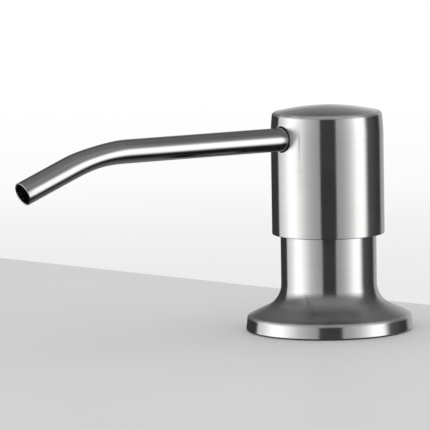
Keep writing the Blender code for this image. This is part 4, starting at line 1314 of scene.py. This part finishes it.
# Brightness of the studio round the horizon: degrees from the camera, to its right, and radiance.
HORIZON = (
    (-180, 0.045), (-122.5, 0.045), (-120, 0.9), (-107, 1.1), (-97, 1.4), (-88, 1.75), (-78, 1.85),
    (-70, 1.7), (-57.6, 1.25), (-50.8, 1), (-44, 0.8), (-37.5, 0.68), (-28, 0.56), (-17, 0.46),
    (-15.5, 0.045), (16, 0.045), (17, 0.47), (29, 0.56), (40, 0.78), (51, 1.15), (60, 1.65), (72, 1.8),
    (80, 1.6), (86, 0.6), (91, 0.12), (108, 0.07), (118, 0.045), (132, 0.045),
    (137, 0.35), (145, 0.5), (168, 0.5), (180, 0.045),
)  # fmt: skip

# How far those cards reach, over the height of the direction, and the light above, behind and below them.
BAND = (
    (-1, 0), (-0.62, 0), (-0.52, 0.08), (-0.435, 0.45), (-0.33, 0.85), (-0.24, 1), (0.04, 1), (0.14, 1.2),
    (0.24, 0.85), (0.35, 0.5), (0.5, 0.06), (1, 0),
)  # fmt: skip
CEILING = ((-1, 0), (0.2, 0), (0.34, 0.05), (0.5, 0.09), (0.68, 0.1), (0.78, 0.14), (0.86, 0.18), (1, 0.2))
FRONT = ((-180, 0), (-100, 0), (-70, 1), (70, 1), (100, 0), (180, 0))
AHEAD = ((-1, 0), (0.26, 0), (0.5, 0.1), (0.66, 0.15), (0.86, 0.1), (1, 0))
BEHIND = ((-180, 1), (-175, 0.8), (-170, 0), (170, 0), (175, 0.8), (180, 1))
UPPER = (
    (-1, 0), (-0.16, 0), (-0.1, 0.7), (0, 0.58), (0.12, 0.5), (0.2, 0.3), (0.34, 0.2), (0.45, 0.1),
    (0.55, 0), (1, 0),
)  # fmt: skip
GLOW = (
    (-180, 0.3), (-160, 0.21), (-134, 0.15), (-108, 0.09), (-90, 0.01), (90, 0.01), (108, 0.09), (134, 0.15),
    (160, 0.21), (180, 0.3),
)  # fmt: skip
LOWER = ((-1, 1), (-0.5, 1), (-0.36, 0), (1, 0))
# The soft light on diffuse faces, and the backdrop that the camera sees, over the height of the direction.
EVEN = ((-1, 0.75), (0, 0.9), (0.3, 1.1), (1, 1.25))
WALL = ((-1, 0.82), (-0.14, 0.83), (-0.128, 0.87), (-0.118, 0.96), (-0.1, 1.0), (1, 1.0))
DECK_HALF = np.array((0.13, 0.19))
DECK_CENTRE = np.array((-0.0822, 0.0215))
DECK_TURN = math.radians(13.4)
# The deck's corners are rounded by a power mean of this power.
DECK_POWER = 24


def ramp(tree, value, stops, low, high):
    """A colour ramp over low to high from (value, radiance) stops, as a grey output."""
    place = put(tree, "ShaderNodeMapRange", {"Value": value, "From Min": low, "From Max": high}).outputs[0]
    made = put(tree, "ShaderNodeValToRGB", {"Fac": place})
    line = made.color_ramp
    top_value = max(level for _, level in stops)
    line.elements[0].position = 0
    line.elements[1].position = 1
    while len(line.elements) < len(stops):
        line.elements.new(0.5)
    for index, (where, level) in enumerate(stops):
        line.elements[index].position = (where - low) / (high - low)
        line.elements[index].color = (*(level / top_value,) * 3, 1)
    return calc(tree, "MULTIPLY", made.outputs[0], top_value)


def make_world(context, size):
    """Studio light: gloss sees bright and dark cards round the horizon under a dim ceiling, diffuse faces see
    soft even light, and the camera sees a near-white backdrop."""
    world = bpy.data.worlds.new("studio")
    context.scene.world = world
    world.use_nodes = True
    tree = world.node_tree
    tree.nodes.clear()
    back, right, _ = stage_axes(size)
    direction = put(tree, "ShaderNodeTexCoord").outputs["Generated"]
    away = Vector((back.x, back.y, 0)).normalized()
    to_right = vector(tree, "DOT_PRODUCT", {0: direction, 1: right}, "Value")
    to_back = vector(tree, "DOT_PRODUCT", {0: direction, 1: away}, "Value")
    height = put(tree, "ShaderNodeSeparateXYZ", {0: direction}).outputs[2]
    around = calc(tree, "MULTIPLY", calc(tree, "ARCTAN2", to_right, to_back), 180 / math.pi)
    gloss = ramp(tree, height, CEILING, -1, 1)
    for round_stops, height_stops in ((HORIZON, BAND), (BEHIND, UPPER), (FRONT, AHEAD), (GLOW, LOWER)):
        level = ramp(tree, around, round_stops, -180, 180)
        gloss = calc(tree, "MULTIPLY_ADD", level, ramp(tree, height, height_stops, -1, 1), gloss)
    even = ramp(tree, height, EVEN, -1, 1)
    wall = ramp(tree, height, WALL, -1, 1)
    path = put(tree, "ShaderNodeLightPath").outputs
    light = mix(tree, path["Is Glossy Ray"], even, gloss)
    seen = mix(tree, path["Is Camera Ray"], light, wall)
    grey = put(tree, "ShaderNodeCombineColor", {0: seen, 1: seen, 2: seen}).outputs[0]
    shade = put(tree, "ShaderNodeBackground", {"Color": grey})
    final = put(tree, "ShaderNodeOutputWorld")
    tree.links.new(shade.outputs[0], final.inputs[0])
    return world


class DISPENSER_OT_stage(bpy.types.Operator):
    """Build the deck, the studio light and the camera"""

    bl_idname = "dispenser.stage"
    bl_label = "Stage"

    def execute(self, context):
        size = context.scene.dispenser.stage
        context.scene.view_settings.view_transform = "Standard"
        make_world(context, size)
        self.add_deck(context, size)
        self.add_camera(context, size)
        return {"FINISHED"}

    def add_deck(self, context, size):
        """A sheet with a round hole: rings from the hole's circle out to a rounded rectangle."""
        angles = circle(192)
        wide, deep = np.cos(angles), np.sin(angles)
        reach = np.abs(wide / DECK_HALF[0]) ** DECK_POWER + np.abs(deep / DECK_HALF[1]) ** DECK_POWER
        reach = reach ** (-1 / DECK_POWER)
        across, along = wide * reach, deep * reach
        cos, sin = math.cos(DECK_TURN), math.sin(DECK_TURN)
        far = np.stack((across * cos - along * sin, across * sin + along * cos), axis=-1) + DECK_CENTRE
        hole = size.deck_hole * np.stack((np.cos(angles + DECK_TURN), np.sin(angles + DECK_TURN)), axis=-1)
        step = np.linspace(0, 1, 12)[:, None, None] ** 1.6
        flat = hole + (far - hole) * step
        face_z, under_z = -0.00002, -size.deck_thickness
        face = np.concatenate((flat, np.full((*flat.shape[:2], 1), face_z)), axis=-1)
        under = np.concatenate((flat[::-1], np.full((*flat.shape[:2], 1), under_z)), axis=-1)
        loop = np.concatenate((face, under, face[:1]))
        material, tree, shader = new_finish("deck", Specular_IOR_Level=0.3)
        marks = effect(tree, "Drawing marks", Spacing=0.0012, Length=0.12, Seed=1)
        patches = effect(tree, "Blotches", Size=0.06, Contrast=1.5, Seed=1)
        both = blend(tree, patches, 0.5, marks, 0.5)
        connect(
            tree,
            shader,
            Base_Color=tint(tree, both, context.scene.dispenser.finish.deck, 0.97, 1.03),
            Roughness=spread(tree, both, 0.4, 0.55),
        )
        deck = build("deck", [loop], material, 30)
        deck.visible_glossy = False

    def add_camera(self, context, size):
        """A long lens aimed at a point beside the head, turned round its own axis by the roll."""
        back, right, up = stage_axes(size)
        cos, sin = math.cos(size.roll), math.sin(size.roll)
        side, over = right * cos + up * sin, up * cos - right * sin
        data = bpy.data.cameras.new("camera")
        data.lens = size.lens
        data.sensor_width = 36
        data.clip_start, data.clip_end = 0.1, 10
        camera = bpy.data.objects.new("camera", data)
        context.scene.collection.objects.link(camera)
        place = AIM + back * size.distance
        matrix = Matrix.Identity(4)
        for column, vector in enumerate((side, over, back, place)):
            for row in range(3):
                matrix[row][column] = vector[row]
        camera.matrix_world = matrix
        context.scene.camera = camera


OPERATORS = (
    DISPENSER_OT_base,
    DISPENSER_OT_shank,
    DISPENSER_OT_clamp,
    DISPENSER_OT_bottle,
    DISPENSER_OT_pump,
    DISPENSER_OT_spring,
    DISPENSER_OT_head,
    DISPENSER_OT_core,
    DISPENSER_OT_spout,
    DISPENSER_OT_stage,
)


class DISPENSER_PT_looks(bpy.types.Panel):
    """Lists the dispenser's operators and sizes in the 3D view's sidebar"""

    bl_label = "Dispenser"
    bl_idname = "DISPENSER_PT_looks"
    bl_space_type = "VIEW_3D"
    bl_region_type = "UI"
    bl_category = "Dispenser"

    def draw(self, context):
        for operator in OPERATORS:
            self.layout.operator(operator.bl_idname)
        for name in GROUPS:
            box = self.layout.box()
            box.label(text=name.capitalize())
            group = getattr(context.scene.dispenser, name)
            for key in group.__annotations__:
                box.prop(group, key)


CLASSES = (*GROUPS.values(), DispenserSettings, *OPERATORS, DISPENSER_PT_looks)


def register():
    for cls in CLASSES:
        bpy.utils.register_class(cls)
    bpy.types.Scene.dispenser = PointerProperty(
        type=DispenserSettings, name="Dispenser", description="Dispenser looks"
    )


def unregister():
    del bpy.types.Scene.dispenser
    for cls in reversed(CLASSES):
        bpy.utils.unregister_class(cls)


def main():
    register()
    looks = bpy.context.scene.dispenser
    FINISH.update(make_finishes(looks.finish, looks.base, looks.head))
    for operator in OPERATORS:
        category, name = operator.bl_idname.split(".")
        getattr(getattr(bpy.ops, category), name)()


if __name__ == "__main__":
    main()
